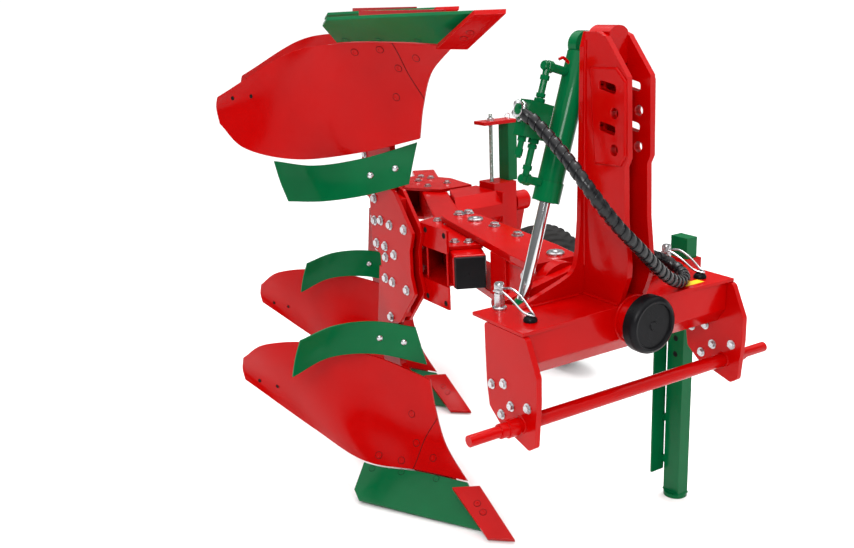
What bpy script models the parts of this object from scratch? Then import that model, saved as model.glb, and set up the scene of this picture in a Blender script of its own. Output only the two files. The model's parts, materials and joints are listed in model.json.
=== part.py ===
"""A two-furrow reversible moldboard plough, mounted on a tractor's three-point linkage, parked on its stand.

Units are metres and +Z is up. In the plough's own layout X = 0 is the middle of the headstock, Y = 0 is
the line of the cross shaft, -Y points to the tractor and +Y to the rear. The lower bodies turn the soil to -X, and
the upper bodies are their mirror images above the turnover axis. At the end the root empty moves the whole
plough so that its origin is the middle of its footprint.
"""

import math

import bmesh
import bpy
import numpy as np
from mathutils import Matrix, Vector

FIT = 0.0003
RUNNING_FIT = 0.0012

# Turnover axis and headstock.
TURN_Z = 0.745
HITCH_WIDTH = 0.691
END_PLATE = 0.015
CROSS_SHAFT_Z = 0.556
CROSS_SHAFT_LENGTH = HITCH_WIDTH + 0.294
CROSS_SHAFT_RADIUS = 0.018
HITCH_PIN_RADIUS = 0.014
HITCH_PIN_LENGTH = 0.105
BEAM_TOP = 0.775
TOP_PLATE = 0.010
BEAM_BACK = 0.148
WING_INNER = HITCH_WIDTH / 2 - 0.0975
WING_BACK = 0.190
HOUSING_RADIUS = 0.058
SHAFT_RADIUS = 0.036
HOUSING_FRONT = -0.043
HOUSING_BACK = 0.152
CAP_RADIUS = 0.0725
CAP_DEPTH = 0.036

# Mast.
MAST_GAP = 0.056
MAST_PLATE = 0.015
MAST_TOP = 1.430
BACK_PLATE_FRONT = 0.130
BACK_PLATE = 0.015

# Turnover cylinder.
CYLINDER_Y = 0.190
MAST_PIN_Z = MAST_TOP - 0.034
CRANK_RADIUS = 0.204
BARREL_RADIUS = 0.0325
COLLAR = 0.0025
BARREL_END = 0.384
ROD_RADIUS = 0.015
ROD_INNER_END = 0.320
EYE_RADIUS = 0.028
EYE_WIDTH = 0.030
PIN_RADIUS = 0.0125
CRANK_FRONT = 0.232
CRANK_PLATE = 0.030

# Frame.
BEAM_FRONT = (-0.078, 0.592)
BEAM_SIZE = 0.100
BEAM_ANGLE = math.radians(26.3)
BODY_SPACING = 0.897
BEAM_END_Y = BEAM_FRONT[1] + BODY_SPACING * math.cos(BEAM_ANGLE) + 0.504
BRACKET_PLATE = 0.012
ARM_PLATE = 0.022
ARM_END_Y = 0.985
HUB_BACK = 0.300

# Plough bodies, laid out for the front lower one.
LANDSIDE_X = -0.135
LEG_THICKNESS = 0.020
LEG_CENTRE_X = -0.148
SIDE_PLATE = 0.012
MOLDBOARD_PLATE = 0.008
SHARE_PLATE = 0.010
TRASHBOARD_PLATE = 0.006

# Stand and depth wheel.
STAND_X = HITCH_WIDTH / 2 + 0.1005
STAND_Y = 0.260
STAND_SIZE = (0.040, 0.062)
STAND_TOP = 0.830
STAND_ARM_LOW = 0.665
STAND_ARM_HIGH = 0.760
FOOT_RADIUS = 0.036
FOOT_PLATE = 0.012
WHEEL_X = 0.870
WHEEL_Y = 1.430
WHEEL_RADIUS = 0.290
WHEEL_WIDTH = 0.150
WHEEL_CLEARANCE = 0.001
RIM_RADIUS = 0.185
WHEEL_PIVOT_X = 0.598
WHEEL_PIVOT_Y = 1.300
AXLE_RADIUS = 0.016
SOCKET_BOX = (0.484, 0.587)
SOCKET_TOP = 0.835
POST_X = 0.586
POST_SIZE = (0.040, 0.062)
POST_TOP = 1.056

RED = ((0.62, 0.008, 0.008, 1.0), 0.0, 0.25)
GREEN = ((0.004, 0.150, 0.040, 1.0), 0.0, 0.28)
STEEL = ((0.60, 0.60, 0.60, 1.0), 1.0, 0.30)
CHROME = ((0.80, 0.80, 0.80, 1.0), 1.0, 0.10)
BLACK = ((0.012, 0.012, 0.012, 1.0), 0.0, 0.55)
RUBBER = ((0.015, 0.015, 0.015, 1.0), 0.0, 0.80)

PLANES = {
    "X": Matrix(((0, 0, 1), (1, 0, 0), (0, 1, 0))).to_4x4(),
    "Y": Matrix(((1, 0, 0), (0, 0, -1), (0, 1, 0))).to_4x4(),
    "Z": Matrix.Identity(4),
}


def clear_scene():
    """Removes whatever the file opened with."""
    for obj in list(bpy.data.objects):
        bpy.data.objects.remove(obj)


def new_collection(name, hidden):
    """A collection in the scene; the cutters' one is left out of renders."""
    collection = bpy.data.collections.new(name)
    collection.hide_render = hidden
    bpy.context.scene.collection.children.link(collection)
    return collection


clear_scene()
PARTS = new_collection("Reversible plough", False)
CUTTERS = new_collection("Cutters", True)


class Pivot:
    """An empty at a joint's axis, which carries the pieces that move with it."""

    def __init__(self, name, place, parent=None):
        self.place = Vector(place)
        self.empty = bpy.data.objects.new(name, None)
        PARTS.objects.link(self.empty)
        self.empty.parent = parent.empty if parent else None
        self.empty.location = self.place - (parent.place if parent else Vector())


def paint(obj, finish):
    """Gives the object a Principled material of its own."""
    colour, metallic, roughness = finish
    material = bpy.data.materials.new(obj.name + "_finish")
    material.use_nodes = True
    shader = material.node_tree.nodes["Principled BSDF"]
    shader.inputs["Base Color"].default_value = colour
    shader.inputs["Metallic"].default_value = metallic
    shader.inputs["Roughness"].default_value = roughness
    obj.data.materials.clear()
    obj.data.materials.append(material)


def to_mesh(bm):
    """A mesh from a bmesh, with its faces turned outward."""
    bmesh.ops.recalc_face_normals(bm, faces=bm.faces)
    mesh = bpy.data.meshes.new("shape")
    bm.to_mesh(mesh)
    bm.free()
    return mesh


def box(low, high):
    """A box between two corners."""
    low, high = Vector(low), Vector(high)
    bm = bmesh.new()
    bmesh.ops.create_cube(bm, size=1.0)
    size = high - low
    bmesh.ops.scale(bm, vec=size, verts=bm.verts)
    bmesh.ops.translate(bm, vec=(low + high) / 2, verts=bm.verts)
    return to_mesh(bm)


def rod(start, end, radius, sides=24, end_radius=None):
    """A round bar, or a cone, between two points."""
    start, end = Vector(start), Vector(end)
    axis = end - start
    bm = bmesh.new()
    last = radius if end_radius is None else end_radius
    bmesh.ops.create_cone(
        bm, cap_ends=True, segments=sides, radius1=radius, radius2=last, depth=axis.length
    )
    turn = axis.to_track_quat("Z", "Y").to_matrix().to_4x4()
    bmesh.ops.transform(bm, matrix=Matrix.Translation((start + end) / 2) @ turn, verts=bm.verts)
    return to_mesh(bm)


def curve_mesh(curve, matrix=None):
    """The closed mesh of a curve, with its caps welded on."""
    helper = bpy.data.objects.new("curve", curve)
    CUTTERS.objects.link(helper)
    graph = bpy.context.evaluated_depsgraph_get()
    mesh = bpy.data.meshes.new_from_object(helper.evaluated_get(graph))
    bpy.data.objects.remove(helper)
    bm = bmesh.new()
    bm.from_mesh(mesh)
    bmesh.ops.remove_doubles(bm, verts=bm.verts, dist=1e-5)
    if matrix is not None:
        bmesh.ops.transform(bm, matrix=matrix, verts=bm.verts)
    return to_mesh(bm)


def plate(outline, axis, low, high):
    """A flat plate: an outline across one axis, thick from low to high along it.

    The outline is (Y, Z) across X, (X, Z) across Y and (X, Y) across Z.
    """
    curve = bpy.data.curves.new("outline", "CURVE")
    curve.dimensions = "2D"
    curve.fill_mode = "BOTH"
    curve.extrude = (high - low) / 2
    spline = curve.splines.new("POLY")
    spline.points.add(len(outline) - 1)
    spline.use_cyclic_u = True
    for point, (across, up) in zip(spline.points, outline):
        point.co = (across, up, 0.0, 1.0)
    shift = Vector((0, 0, 0))
    shift["XYZ".index(axis)] = (low + high) / 2
    return curve_mesh(curve, Matrix.Translation(shift) @ PLANES[axis])


def bent_bar(points, radius, sides=8):
    """A round wire or pipe through the points."""
    curve = bpy.data.curves.new("wire", "CURVE")
    curve.dimensions = "3D"
    curve.bevel_depth = radius
    curve.bevel_resolution = sides // 2 - 2
    curve.use_fill_caps = True
    spline = curve.splines.new("POLY")
    spline.points.add(len(points) - 1)
    for point, place in zip(spline.points, points):
        point.co = (*place, 1.0)
    return curve_mesh(curve)


def arc(centre, radius, first, last, steps):
    """Points round a centre, from the first angle to the last, in degrees."""
    angles = np.radians(np.linspace(first, last, steps + 1))
    return [(centre[0] + radius * math.cos(a), centre[1] + radius * math.sin(a)) for a in angles]


def rounded(outline, radius, steps=4):
    """The outline with each corner cut to an arc of about this radius."""
    result = []
    count = len(outline)
    for index in range(count):
        here = Vector(outline[index])
        before = (Vector(outline[index - 1]) - here).normalized()
        after = (Vector(outline[(index + 1) % count]) - here).normalized()
        half = before.angle(after) / 2
        reach = min(radius / math.tan(half), 0.45 * (Vector(outline[index - 1]) - here).length)
        reach = min(reach, 0.45 * (Vector(outline[(index + 1) % count]) - here).length)
        start, end = here + before * reach, here + after * reach
        for step in range(steps + 1):
            t = step / steps
            point = (1 - t) ** 2 * start + 2 * t * (1 - t) * here + t * t * end
            result.append((point.x, point.y))
    return result


def node(name, mesh, finish, pivot):
    """A named piece of the plough, carried by a pivot."""
    obj = bpy.data.objects.new(name, mesh)
    PARTS.objects.link(obj)
    obj.parent = pivot.empty
    obj.location = -pivot.place
    paint(obj, finish)
    mesh.shade_smooth()
    mesh.set_sharp_from_angle(angle=math.radians(35))
    return obj


def tool(obj, mesh, operation):
    """Joins a shape to a piece, or cuts it out, with an exact Boolean."""
    helper = bpy.data.objects.new(f"{obj.name}_{operation.lower()}", mesh)
    CUTTERS.objects.link(helper)
    helper.parent = obj.parent
    helper.location = obj.location
    helper.hide_render = True
    helper.display_type = "WIRE"
    modifier = obj.modifiers.new(operation.title(), "BOOLEAN")
    modifier.operation = operation
    modifier.solver = "EXACT"
    modifier.object = helper


def add(obj, *meshes):
    """Joins shapes to a piece."""
    for mesh in meshes:
        tool(obj, mesh, "UNION")


def cut(obj, *meshes):
    """Cuts shapes out of a piece."""
    for mesh in meshes:
        tool(obj, mesh, "DIFFERENCE")


# ---------------------------------------------------------------- headstock


def housing_bore():
    """The space that the turnover shaft's housing takes in what it passes through."""
    return rod((0, -0.2, TURN_Z), (0, 0.4, TURN_Z), HOUSING_RADIUS + FIT, 40)


def build_crossbeam(pivot):
    """The box beam across the headstock, with its top plate."""
    half = HITCH_WIDTH / 2 - END_PLATE - FIT
    section = [
        (-0.004, BEAM_TOP + 0.001),
        (-0.004, 0.700),
        (0.026, 0.660),
        (0.110, 0.660),
        (BEAM_BACK, 0.700),
        (BEAM_BACK, BEAM_TOP + 0.001),
    ]
    beam = node("crossbeam", plate(section, "X", -half, half), RED, pivot)
    edge = HITCH_WIDTH / 2
    top = [
        (-edge, -0.014),
        (-0.12, -0.004),
        (0.12, -0.004),
        (edge, -0.014),
        (edge, WING_BACK),
        (WING_INNER, WING_BACK),
        (WING_INNER - 0.02, BEAM_BACK),
        (0.02 - WING_INNER, BEAM_BACK),
        (-WING_INNER, WING_BACK),
        (-edge, WING_BACK),
    ]
    add(beam, plate(top, "Z", BEAM_TOP, BEAM_TOP + TOP_PLATE))
    cut(beam, housing_bore())


def build_end_plates(pivot):
    """The two hitch plates, which hold the cross shaft."""
    outline = [
        (-0.052, 0.515),
        (-0.030, 0.500),
        (0.085, 0.530),
        (0.125, 0.562),
        (0.134, 0.620),
        (0.140, BEAM_TOP - FIT),
        (-0.022, BEAM_TOP - FIT),
        (-0.062, 0.690),
        (-0.062, 0.625),
    ]
    outline = rounded(outline, 0.014)
    outer = HITCH_WIDTH / 2
    hole = rod((-1, 0, CROSS_SHAFT_Z), (1, 0, CROSS_SHAFT_Z), CROSS_SHAFT_RADIUS + FIT, 32)
    for name, side in (("left_end_plate", -1), ("right_end_plate", 1)):
        low, high = sorted((side * outer, side * (outer - END_PLATE)))
        obj = node(name, plate(outline, "X", low, high), RED, pivot)
        cut(obj, hole.copy())


def build_cross_shaft(pivot):
    """The lower link bar, with a shoulder and a turned pin at each end."""
    half = CROSS_SHAFT_LENGTH / 2
    shoulder = half - HITCH_PIN_LENGTH
    z = CROSS_SHAFT_Z
    shaft = node(
        "cross_shaft",
        rod((-shoulder - 0.02, 0, z), (shoulder + 0.02, 0, z), CROSS_SHAFT_RADIUS, 32),
        RED,
        pivot,
    )
    for side in (-1, 1):
        add(shaft, rod((side * (shoulder - 0.028), 0, z), (side * shoulder, 0, z), 0.022, 32))
        add(shaft, rod((side * (shoulder - 0.01), 0, z), (side * half, 0, z), HITCH_PIN_RADIUS, 24))


def mast_side_outline():
    """The side view of a mast plate, (Y, Z) from its foot up the back and down the front."""
    back = BACK_PLATE_FRONT - FIT
    foot = BEAM_TOP + TOP_PLATE + FIT
    return [
        (0.002, foot),
        (back, foot),
        (back, MAST_TOP),
        (0.090, MAST_TOP),
        (0.060, 1.420),
        (-0.014, 1.331),
        (-0.020, 1.146),
        (-0.010, 1.125),
        (-0.014, 1.000),
        (-0.028, 0.890),
        (-0.026, 0.860),
    ]


def build_mast_plates(pivot):
    """The two upright cheeks of the mast, with the top link's holes and slots."""
    outline = mast_side_outline()
    inner = MAST_GAP / 2
    for name, side in (("mast_left_plate", -1), ("mast_right_plate", 1)):
        low, high = sorted((side * inner, side * (inner + MAST_PLATE)))
        obj = node(name, plate(outline, "X", low, high), RED, pivot)
        for z in (1.247, 1.162):
            cut(obj, rod((-0.2, 0.022, z), (0.2, 0.022, z), 0.0135, 24))
        for z in (1.300, 1.205):
            slot = [(0.018, z - 0.010), (0.075, z), (0.075, z + 0.022), (0.018, z + 0.012)]
            cut(obj, plate(rounded(slot, 0.009), "X", -0.2, 0.2))
        cut(obj, housing_bore())


def build_mast_back_plate(pivot):
    """The bell-shaped plate up the back of the mast, with the round-topped block between the cheeks."""
    foot = BEAM_TOP + TOP_PLATE + FIT
    right = [
        (0.250, foot),
        (0.238, 0.790),
        (0.166, 0.813),
        (0.118, 0.829),
        (0.085, 0.842),
        (0.069, 0.862),
        (0.061, 0.900),
        (0.055, 0.976),
        (0.047, 1.395),
        (0.036, MAST_TOP),
    ]
    outline = right + [(-x, z) for x, z in reversed(right)]
    obj = node(
        "mast_back_plate",
        plate(outline, "Y", BACK_PLATE_FRONT, BACK_PLATE_FRONT + BACK_PLATE),
        RED,
        pivot,
    )
    half = MAST_GAP / 2 - FIT
    crown = [(-half, MAST_TOP - 0.075), (half, MAST_TOP - 0.075)]
    crown += arc((0, MAST_TOP - 0.022), math.hypot(half, 0.022), 38, 142, 10)
    add(obj, plate(crown, "Y", 0.062, BACK_PLATE_FRONT + 0.005))
    cut(obj, housing_bore())


def build_mast_pin(pivot):
    """The boss behind the mast, on which the turnover cylinder hangs."""
    back = BACK_PLATE_FRONT + BACK_PLATE + FIT
    z = MAST_PIN_Z
    eye_front = CYLINDER_Y - EYE_WIDTH / 2
    obj = node("mast_pin", rod((0, back, z), (0, back + 0.007, z), 0.034, 32), RED, pivot)
    add(obj, rod((0, back + 0.002, z), (0, eye_front - 0.002, z), 0.0175, 28))
    add(obj, rod((0, back + 0.002, z), (0, CYLINDER_Y + 0.035, z), PIN_RADIUS, 24))


def build_shaft_housing(pivot):
    """The fixed tube through the headstock in which the turnover shaft runs."""
    obj = node(
        "shaft_housing",
        rod((0, HOUSING_FRONT, TURN_Z), (0, HOUSING_BACK, TURN_Z), HOUSING_RADIUS, 40),
        RED,
        pivot,
    )
    bore = SHAFT_RADIUS + RUNNING_FIT
    cut(obj, rod((0, -0.02, TURN_Z), (0, 0.4, TURN_Z), bore, 40))


def build_shaft_cap(pivot):
    """The black cap over the front of the shaft's housing."""
    front = HOUSING_FRONT - FIT
    profile = [
        (0.0, front - CAP_DEPTH),
        (CAP_RADIUS - 0.014, front - CAP_DEPTH),
        (CAP_RADIUS - 0.004, front - CAP_DEPTH + 0.006),
        (CAP_RADIUS, front - CAP_DEPTH + 0.016),
        (CAP_RADIUS, front),
        (0.0, front),
    ]
    node("shaft_cap", turned(profile, (0, 0, TURN_Z), "Y", 40), BLACK, pivot)


def turned(profile, centre, axis, steps):
    """A turned solid: (radius, place along the axis) points, spun about an axis through the centre."""
    bm = bmesh.new()
    points = [bm.verts.new((radius, 0.0, along)) for radius, along in profile]
    edges = [bm.edges.new(pair) for pair in zip(points, points[1:])]
    if profile[0][0] > 0:
        edges.append(bm.edges.new((points[-1], points[0])))
    bmesh.ops.spin(
        bm,
        geom=points + edges,
        cent=(0, 0, 0),
        axis=(0, 0, 1),
        angle=2 * math.pi,
        steps=steps,
        use_merge=True,
    )
    bmesh.ops.remove_doubles(bm, verts=bm.verts, dist=1e-6)
    turn = {
        "X": Matrix(((0, 0, 1), (1, 0, 0), (0, 1, 0))),
        "Y": Matrix(((1, 0, 0), (0, 0, 1), (0, -1, 0))),
        "Z": Matrix.Identity(3),
    }[axis].to_4x4()
    bmesh.ops.transform(bm, matrix=Matrix.Translation(centre) @ turn, verts=bm.verts)
    return to_mesh(bm)


def build_locking_pins(pivot):
    """The two linkage pins stowed on the top plate, each with a wire hoop and a rubber knob."""
    seat = BEAM_TOP + TOP_PLATE + FIT
    y = 0.166
    for name, side in (("left_locking_pin", -1), ("right_locking_pin", 1)):
        x = side * (HITCH_WIDTH / 2 - 0.0655)
        obj = node(name, rod((x, y, seat), (x, y, seat + 0.006), 0.018, 20), STEEL, pivot)
        add(obj, rod((x, y, seat + 0.004), (x, y, seat + 0.066), 0.012, 16))
        hoop = [
            (x, y, seat + 0.058),
            (x, y - 0.035, seat + 0.060),
            (x, y - 0.085, seat + 0.034),
            (x, y - 0.120, seat + 0.012),
        ]
        add(obj, bent_bar(hoop, 0.004))
        add(obj, rod((x, y - 0.122, seat), (x, y - 0.122, seat + 0.020), 0.017, 16, 0.008))


def stand_bore(margin):
    """The stand tube's section, grown by a margin."""
    half_x, half_y = STAND_SIZE[0] / 2 + margin, STAND_SIZE[1] / 2 + margin
    return (
        (STAND_X - half_x, STAND_Y - half_y),
        (STAND_X + half_x, STAND_Y + half_y),
    )


def build_stand_bracket(pivot):
    """The arm on the right hitch plate that ends in the stand's guide sleeve."""
    face = HITCH_WIDTH / 2 + FIT
    low, high = stand_bore(0.010)
    obj = node(
        "stand_bracket",
        box((face, 0.060, STAND_ARM_LOW), (face + 0.012, high[1], STAND_ARM_HIGH)),
        RED,
        pivot,
    )
    arm_low = (face + 0.006, STAND_Y - 0.030, STAND_ARM_LOW)
    add(obj, box(arm_low, (low[0] + 0.004, STAND_Y + 0.030, STAND_ARM_HIGH)))
    add(obj, box((low[0], low[1], 0.620), (high[0], high[1], 0.770)))
    hole_low, hole_high = stand_bore(RUNNING_FIT)
    cut(obj, box((*hole_low, 0.5), (*hole_high, 0.9)))


HOSE_RADIUS = 0.016
HOSE_ROUTE = [
    (-0.216, 0.146, 1.255),
    (-0.203, 0.120, 1.236),
    (-0.194, 0.070, 1.198),
    (-0.189, 0.010, 1.152),
    (-0.185, -0.035, 1.112),
    (-0.156, -0.060, 1.058),
    (-0.110, -0.072, 1.000),
    (-0.050, -0.068, 0.946),
    (0.015, -0.052, 0.892),
    (0.080, -0.032, 0.845),
    (0.145, -0.008, 0.812),
    (0.205, 0.028, 0.803),
    (0.236, 0.075, 0.808),
    (0.222, 0.112, 0.828),
    (0.178, 0.124, 0.848),
    (0.125, 0.112, 0.860),
]


def smooth_points(points, count):
    """Evenly spread points on a smooth curve through the given ones (Catmull-Rom)."""
    points = np.array(points, float)
    ends = [2 * points[0] - points[1]], [2 * points[-1] - points[-2]]
    padded = np.vstack([ends[0], points, ends[1]])
    t = np.linspace(0, 1, 12, endpoint=False)[:, None]
    parts = []
    for a, b, c, d in zip(padded, padded[1:], padded[2:], padded[3:]):
        parts.append(
            0.5 * (2 * b + (c - a) * t + (2 * a - 5 * b + 4 * c - d) * t**2 + (3 * b - a - 3 * c + d) * t**3)
        )
    dense = np.vstack(parts + [points[-1:]])
    length = np.concatenate([[0], np.cumsum(np.linalg.norm(np.diff(dense, axis=0), axis=1))])
    even = np.linspace(0, length[-1], count)
    return np.column_stack([np.interp(even, length, dense[:, axis]) for axis in range(3)])


def build_hose(pivot):
    """The hydraulic hose in its spiral guard, from the cylinder's valve block to the mast's foot."""
    node("hose", bent_bar(smooth_points(HOSE_ROUTE, 34), HOSE_RADIUS, 8), BLACK, pivot)


# ---------------------------------------------------------- turnover cylinder


def cylinder_axis():
    """The top pin's place, and the unit direction from it to the crank pin, at rest."""
    top = Vector((0, CYLINDER_Y, MAST_PIN_Z))
    crank = Vector((-CRANK_RADIUS, CYLINDER_Y, TURN_Z))
    return top, (crank - top).normalized(), (crank - top).length


def build_cylinder_barrel(pivot):
    """The hydraulic barrel with the eye that hangs on the mast pin."""
    top, along, _ = cylinder_axis()
    across = Vector((0, EYE_WIDTH / 2, 0))
    obj = node("cylinder_barrel", rod(top - across, top + across, 0.034, 32), GREEN, pivot)
    add(obj, rod(top + along * 0.020, top + along * BARREL_END, BARREL_RADIUS, 32))
    collar = top + along * (BARREL_END - 0.045)
    add(obj, rod(collar, top + along * (BARREL_END + 0.006), BARREL_RADIUS + COLLAR, 32))
    cut(obj, rod(top - across * 3, top + across * 3, PIN_RADIUS + RUNNING_FIT, 24))
    end = top + along * (BARREL_END + 0.1)
    cut(obj, rod(top + along * 0.08, end, ROD_RADIUS + RUNNING_FIT, 24))


def build_valve_block(pivot):
    """The valve block beside the barrel, with its pipes, test port and hose fittings."""
    top, along, _ = cylinder_axis()
    side = Vector((along.z, 0, -along.x))
    y = CYLINDER_Y - 0.002

    def place(down, out):
        return Vector((top.x, y, top.z)) + along * down + side * out

    first, last, near, far = 0.162, 0.249, 0.060, 0.132
    corners = [place(down, out) for down, out in ((first, near), (last, near), (last, far), (first, far))]
    outline = [(point.x, point.z) for point in corners]
    obj = node("valve_block", plate(outline, "Y", y - 0.020, y + 0.020), GREEN, pivot)
    wall = BARREL_RADIUS + COLLAR + 2 * FIT
    for block_end, port, out in ((first + 0.01, 0.074, 0.092), (last - 0.01, 0.347, 0.082)):
        add(obj, rod(place(block_end, out), place(port, out), 0.0085, 12))
        add(obj, rod(place(port, wall), place(port, out + 0.014), 0.0105, 12))
    add(obj, rod(place(last - 0.01, 0.118), place(last + 0.052, 0.118), 0.0075, 12))
    exit_end = Vector(HOSE_ROUTE[0]) + Vector((-0.004, 0.012, 0.009))
    for down in (0.180, 0.206):
        start = place(down, far - 0.010)
        elbow = place(down - 0.004, far + 0.022)
        end = elbow + (exit_end - elbow) * 0.72
        add(obj, bent_bar([start, elbow, end], 0.0085))


def build_cylinder_rod(pivot):
    """The chromed rod with its eye and the pin through it."""
    top, along, length = cylinder_axis()
    end = top + along * length
    obj = node(
        "cylinder_rod",
        rod(top + along * ROD_INNER_END, end - along * (EYE_RADIUS - 0.006), ROD_RADIUS, 24),
        CHROME,
        pivot,
    )
    across = Vector((0, EYE_WIDTH / 2, 0))
    add(obj, rod(end - across, end + across, EYE_RADIUS, 28))
    front = end - across - Vector((0, 0.008, 0))
    back = Vector((end.x, CRANK_FRONT - 0.0015, end.z))
    add(obj, rod(front, back, PIN_RADIUS, 24))


# ------------------------------------------------------------------- frame


def build_turnover_shaft(pivot):
    """The shaft in the housing, with the round hub that carries the frame."""
    z = TURN_Z
    obj = node(
        "turnover_shaft",
        rod((0, 0.0, z), (0, CRANK_FRONT + 0.01, z), SHAFT_RADIUS, 40),
        STEEL,
        pivot,
    )
    back = CRANK_FRONT + CRANK_PLATE
    add(obj, rod((0, CRANK_FRONT, z), (0, back + 0.002, z), 0.060, 40))
    add(obj, rod((0, back + FIT, z), (0, HUB_BACK, z), 0.085, 40))


def build_crank_arm(pivot):
    """The crank on the shaft that the cylinder pushes."""
    outline = arc((0, TURN_Z), 0.078, -75, 75, 12)
    outline += arc((-CRANK_RADIUS, TURN_Z), 0.032, 90, 270, 12)
    low, high = CRANK_FRONT, CRANK_FRONT + CRANK_PLATE
    obj = node("crank_arm", plate(outline, "Y", low, high), RED, pivot)
    cut(obj, rod((0, 0, TURN_Z), (0, 0.4, TURN_Z), 0.060 + FIT, 40))


def beam_point(along, across):
    """(X, Y) of a point on the slanted main beam: along it from its front end, and across it to +X."""
    c, s = math.cos(BEAM_ANGLE), math.sin(BEAM_ANGLE)
    return (
        BEAM_FRONT[0] + along * s + across * c,
        BEAM_FRONT[1] + along * c - across * s,
    )


def beam_along(y, across):
    """How far along the beam a line at this distance across it reaches this Y."""
    return (y - BEAM_FRONT[1] + across * math.sin(BEAM_ANGLE)) / math.cos(BEAM_ANGLE)


def beam_length():
    """The main beam's length along its own axis."""
    return (BEAM_END_Y - BEAM_FRONT[1]) / math.cos(BEAM_ANGLE)


def build_main_beam(pivot):
    """The square bar that carries the legs."""
    half = BEAM_SIZE / 2
    length = beam_length()
    outline = [
        beam_point(0, -half),
        beam_point(length, -half),
        beam_point(length, half),
        beam_point(0, half),
    ]
    node("main_beam", plate(outline, "Z", TURN_Z - half, TURN_Z + half), RED, pivot)


def build_beam_cap(pivot):
    """The black plastic cap on the beam's front end."""
    half = BEAM_SIZE / 2 - 0.003
    outline = [
        beam_point(-0.016, 0.004 - half),
        beam_point(-FIT, -half),
        beam_point(-FIT, half),
        beam_point(-0.016, half - 0.004),
    ]
    node("beam_cap", plate(outline, "Z", TURN_Z - half, TURN_Z + half), BLACK, pivot)


def build_swing_arm(pivot):
    """The arm from the hub to the beam: a plate above and below, joined by a web in front."""
    half = BEAM_SIZE / 2
    front = HUB_BACK + FIT
    outline = [
        (-0.075, front),
        (0.085, front),
        (0.110, 0.420),
        (0.165, 0.880),
        (0.155, 0.960),
        (0.110, ARM_END_Y),
        (0.060, 0.960),
        (0.040, 0.880),
        (-0.060, 0.420),
    ]
    gap = half + BRACKET_PLATE + 2 * FIT
    obj = node("swing_arm", plate(outline, "Z", TURN_Z + gap, TURN_Z + gap + ARM_PLATE), RED, pivot)
    add(obj, plate(outline, "Z", TURN_Z - gap - ARM_PLATE, TURN_Z - gap))
    web = [(-0.060, front), (0.080, front), (0.105, 0.420), (0.108, 0.560), (0.060, 0.520), (-0.040, 0.480)]
    add(obj, plate(web, "Z", TURN_Z - gap - 0.004, TURN_Z + gap + 0.004))


# ------------------------------------------------------------ plough bodies


def body_step():
    """The step from the front furrow's body to the rear one."""
    return Vector((BODY_SPACING * math.sin(BEAM_ANGLE), BODY_SPACING * math.cos(BEAM_ANGLE), 0))


def leg_plate_outline():
    """(Y, Z) outline of a leg side plate, a little deeper above the turnover axis than below it."""
    front = [(0.780, 0.038), (0.760, 0.095), (0.862, 0.212)]
    upper = front + [(0.985, 0.232), (1.015, 0.150), (1.015, 0.010)]
    lower = front + [(0.935, 0.232), (0.965, 0.150), (0.965, 0.006)]
    outline = [(y, TURN_Z + z) for y, z in upper]
    return outline + [(y, TURN_Z - z) for y, z in reversed(lower)]


def build_leg_plates(pivot):
    """The pair of plates at each furrow that clamp the upper and the lower leg."""
    outline = rounded(leg_plate_outline(), 0.012, 2)
    inner = LEG_THICKNESS / 2 + FIT
    for furrow, count in (("front", 0), ("rear", 1)):
        shift = body_step() * count
        for name, side in (("left", -1), ("right", 1)):
            low, high = sorted(
                (LEG_CENTRE_X + side * inner, LEG_CENTRE_X + side * (inner + SIDE_PLATE))
            )
            mesh = plate(outline, "X", low, high)
            mesh.transform(Matrix.Translation(shift))
            node(f"{furrow}_leg_{name}_plate", mesh, RED, pivot)


def build_leg_brackets(pivot):
    """At each furrow, the plates over and under the beam and the block that hold the leg plates."""
    half = BEAM_SIZE / 2 + FIT
    face = LEG_CENTRE_X + LEG_THICKNESS / 2 + 2 * FIT + SIDE_PLATE
    step = body_step()
    front_over = [
        (face, 0.640),
        beam_point(0.070, -half),
        beam_point(0.070, half),
        beam_point(0.480, half),
        beam_point(0.480, -half),
        (face, 0.980),
    ]
    rear_over = [(face, 0.756), (-0.040, 0.621), (0.103, 0.621), (0.118, 0.796), (0.053, 0.936)]
    rear_over.append((face, 0.916))
    rear_over = [(x + step.x, y + step.y) for x, y in rear_over]
    for furrow, over, first, last, shift in (
        ("front", front_over, 0.290, 0.440, Vector()),
        ("rear", rear_over, BODY_SPACING + 0.273, BODY_SPACING + 0.403, step),
    ):
        near, far = beam_point(first, -half), beam_point(last, -half)
        face_x = face + shift.x
        block = [(face_x, shift.y + 0.800), near, far, (face_x, shift.y + 0.960)]
        low, high = TURN_Z - half - 0.004, TURN_Z + half + 0.004
        obj = node(f"{furrow}_leg_bracket", plate(block, "Z", low, high), RED, pivot)
        for side in (-1, 1):
            low, high = sorted((TURN_Z + side * half, TURN_Z + side * (half + BRACKET_PLATE)))
            add(obj, plate(over, "Z", low, high))
        if furrow == "front":
            for side in (-1, 1):
                low, high = sorted((TURN_Z + side * (half + 0.002), TURN_Z + side * 0.122))
                add(obj, box((face, 0.640, low), (face + 0.008, 0.785, high)))


def spline(points, t):
    """A smooth curve through the points (Catmull-Rom), read at t from 0 to 1."""
    points = np.array(points, float)
    padded = np.vstack([2 * points[0] - points[1], points, 2 * points[-1] - points[-2]])
    place = np.clip(np.asarray(t, float), 0, 1) * (len(points) - 1)
    index = np.minimum(place.astype(int), len(points) - 2)
    t = (place - index)[:, None]
    a, b, c, d = (padded[index + k] for k in range(4))
    return 0.5 * (2 * b + (c - a) * t + (2 * a - 5 * b + 4 * c - d) * t**2 + (3 * b - a - 3 * c + d) * t**3)


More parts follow.
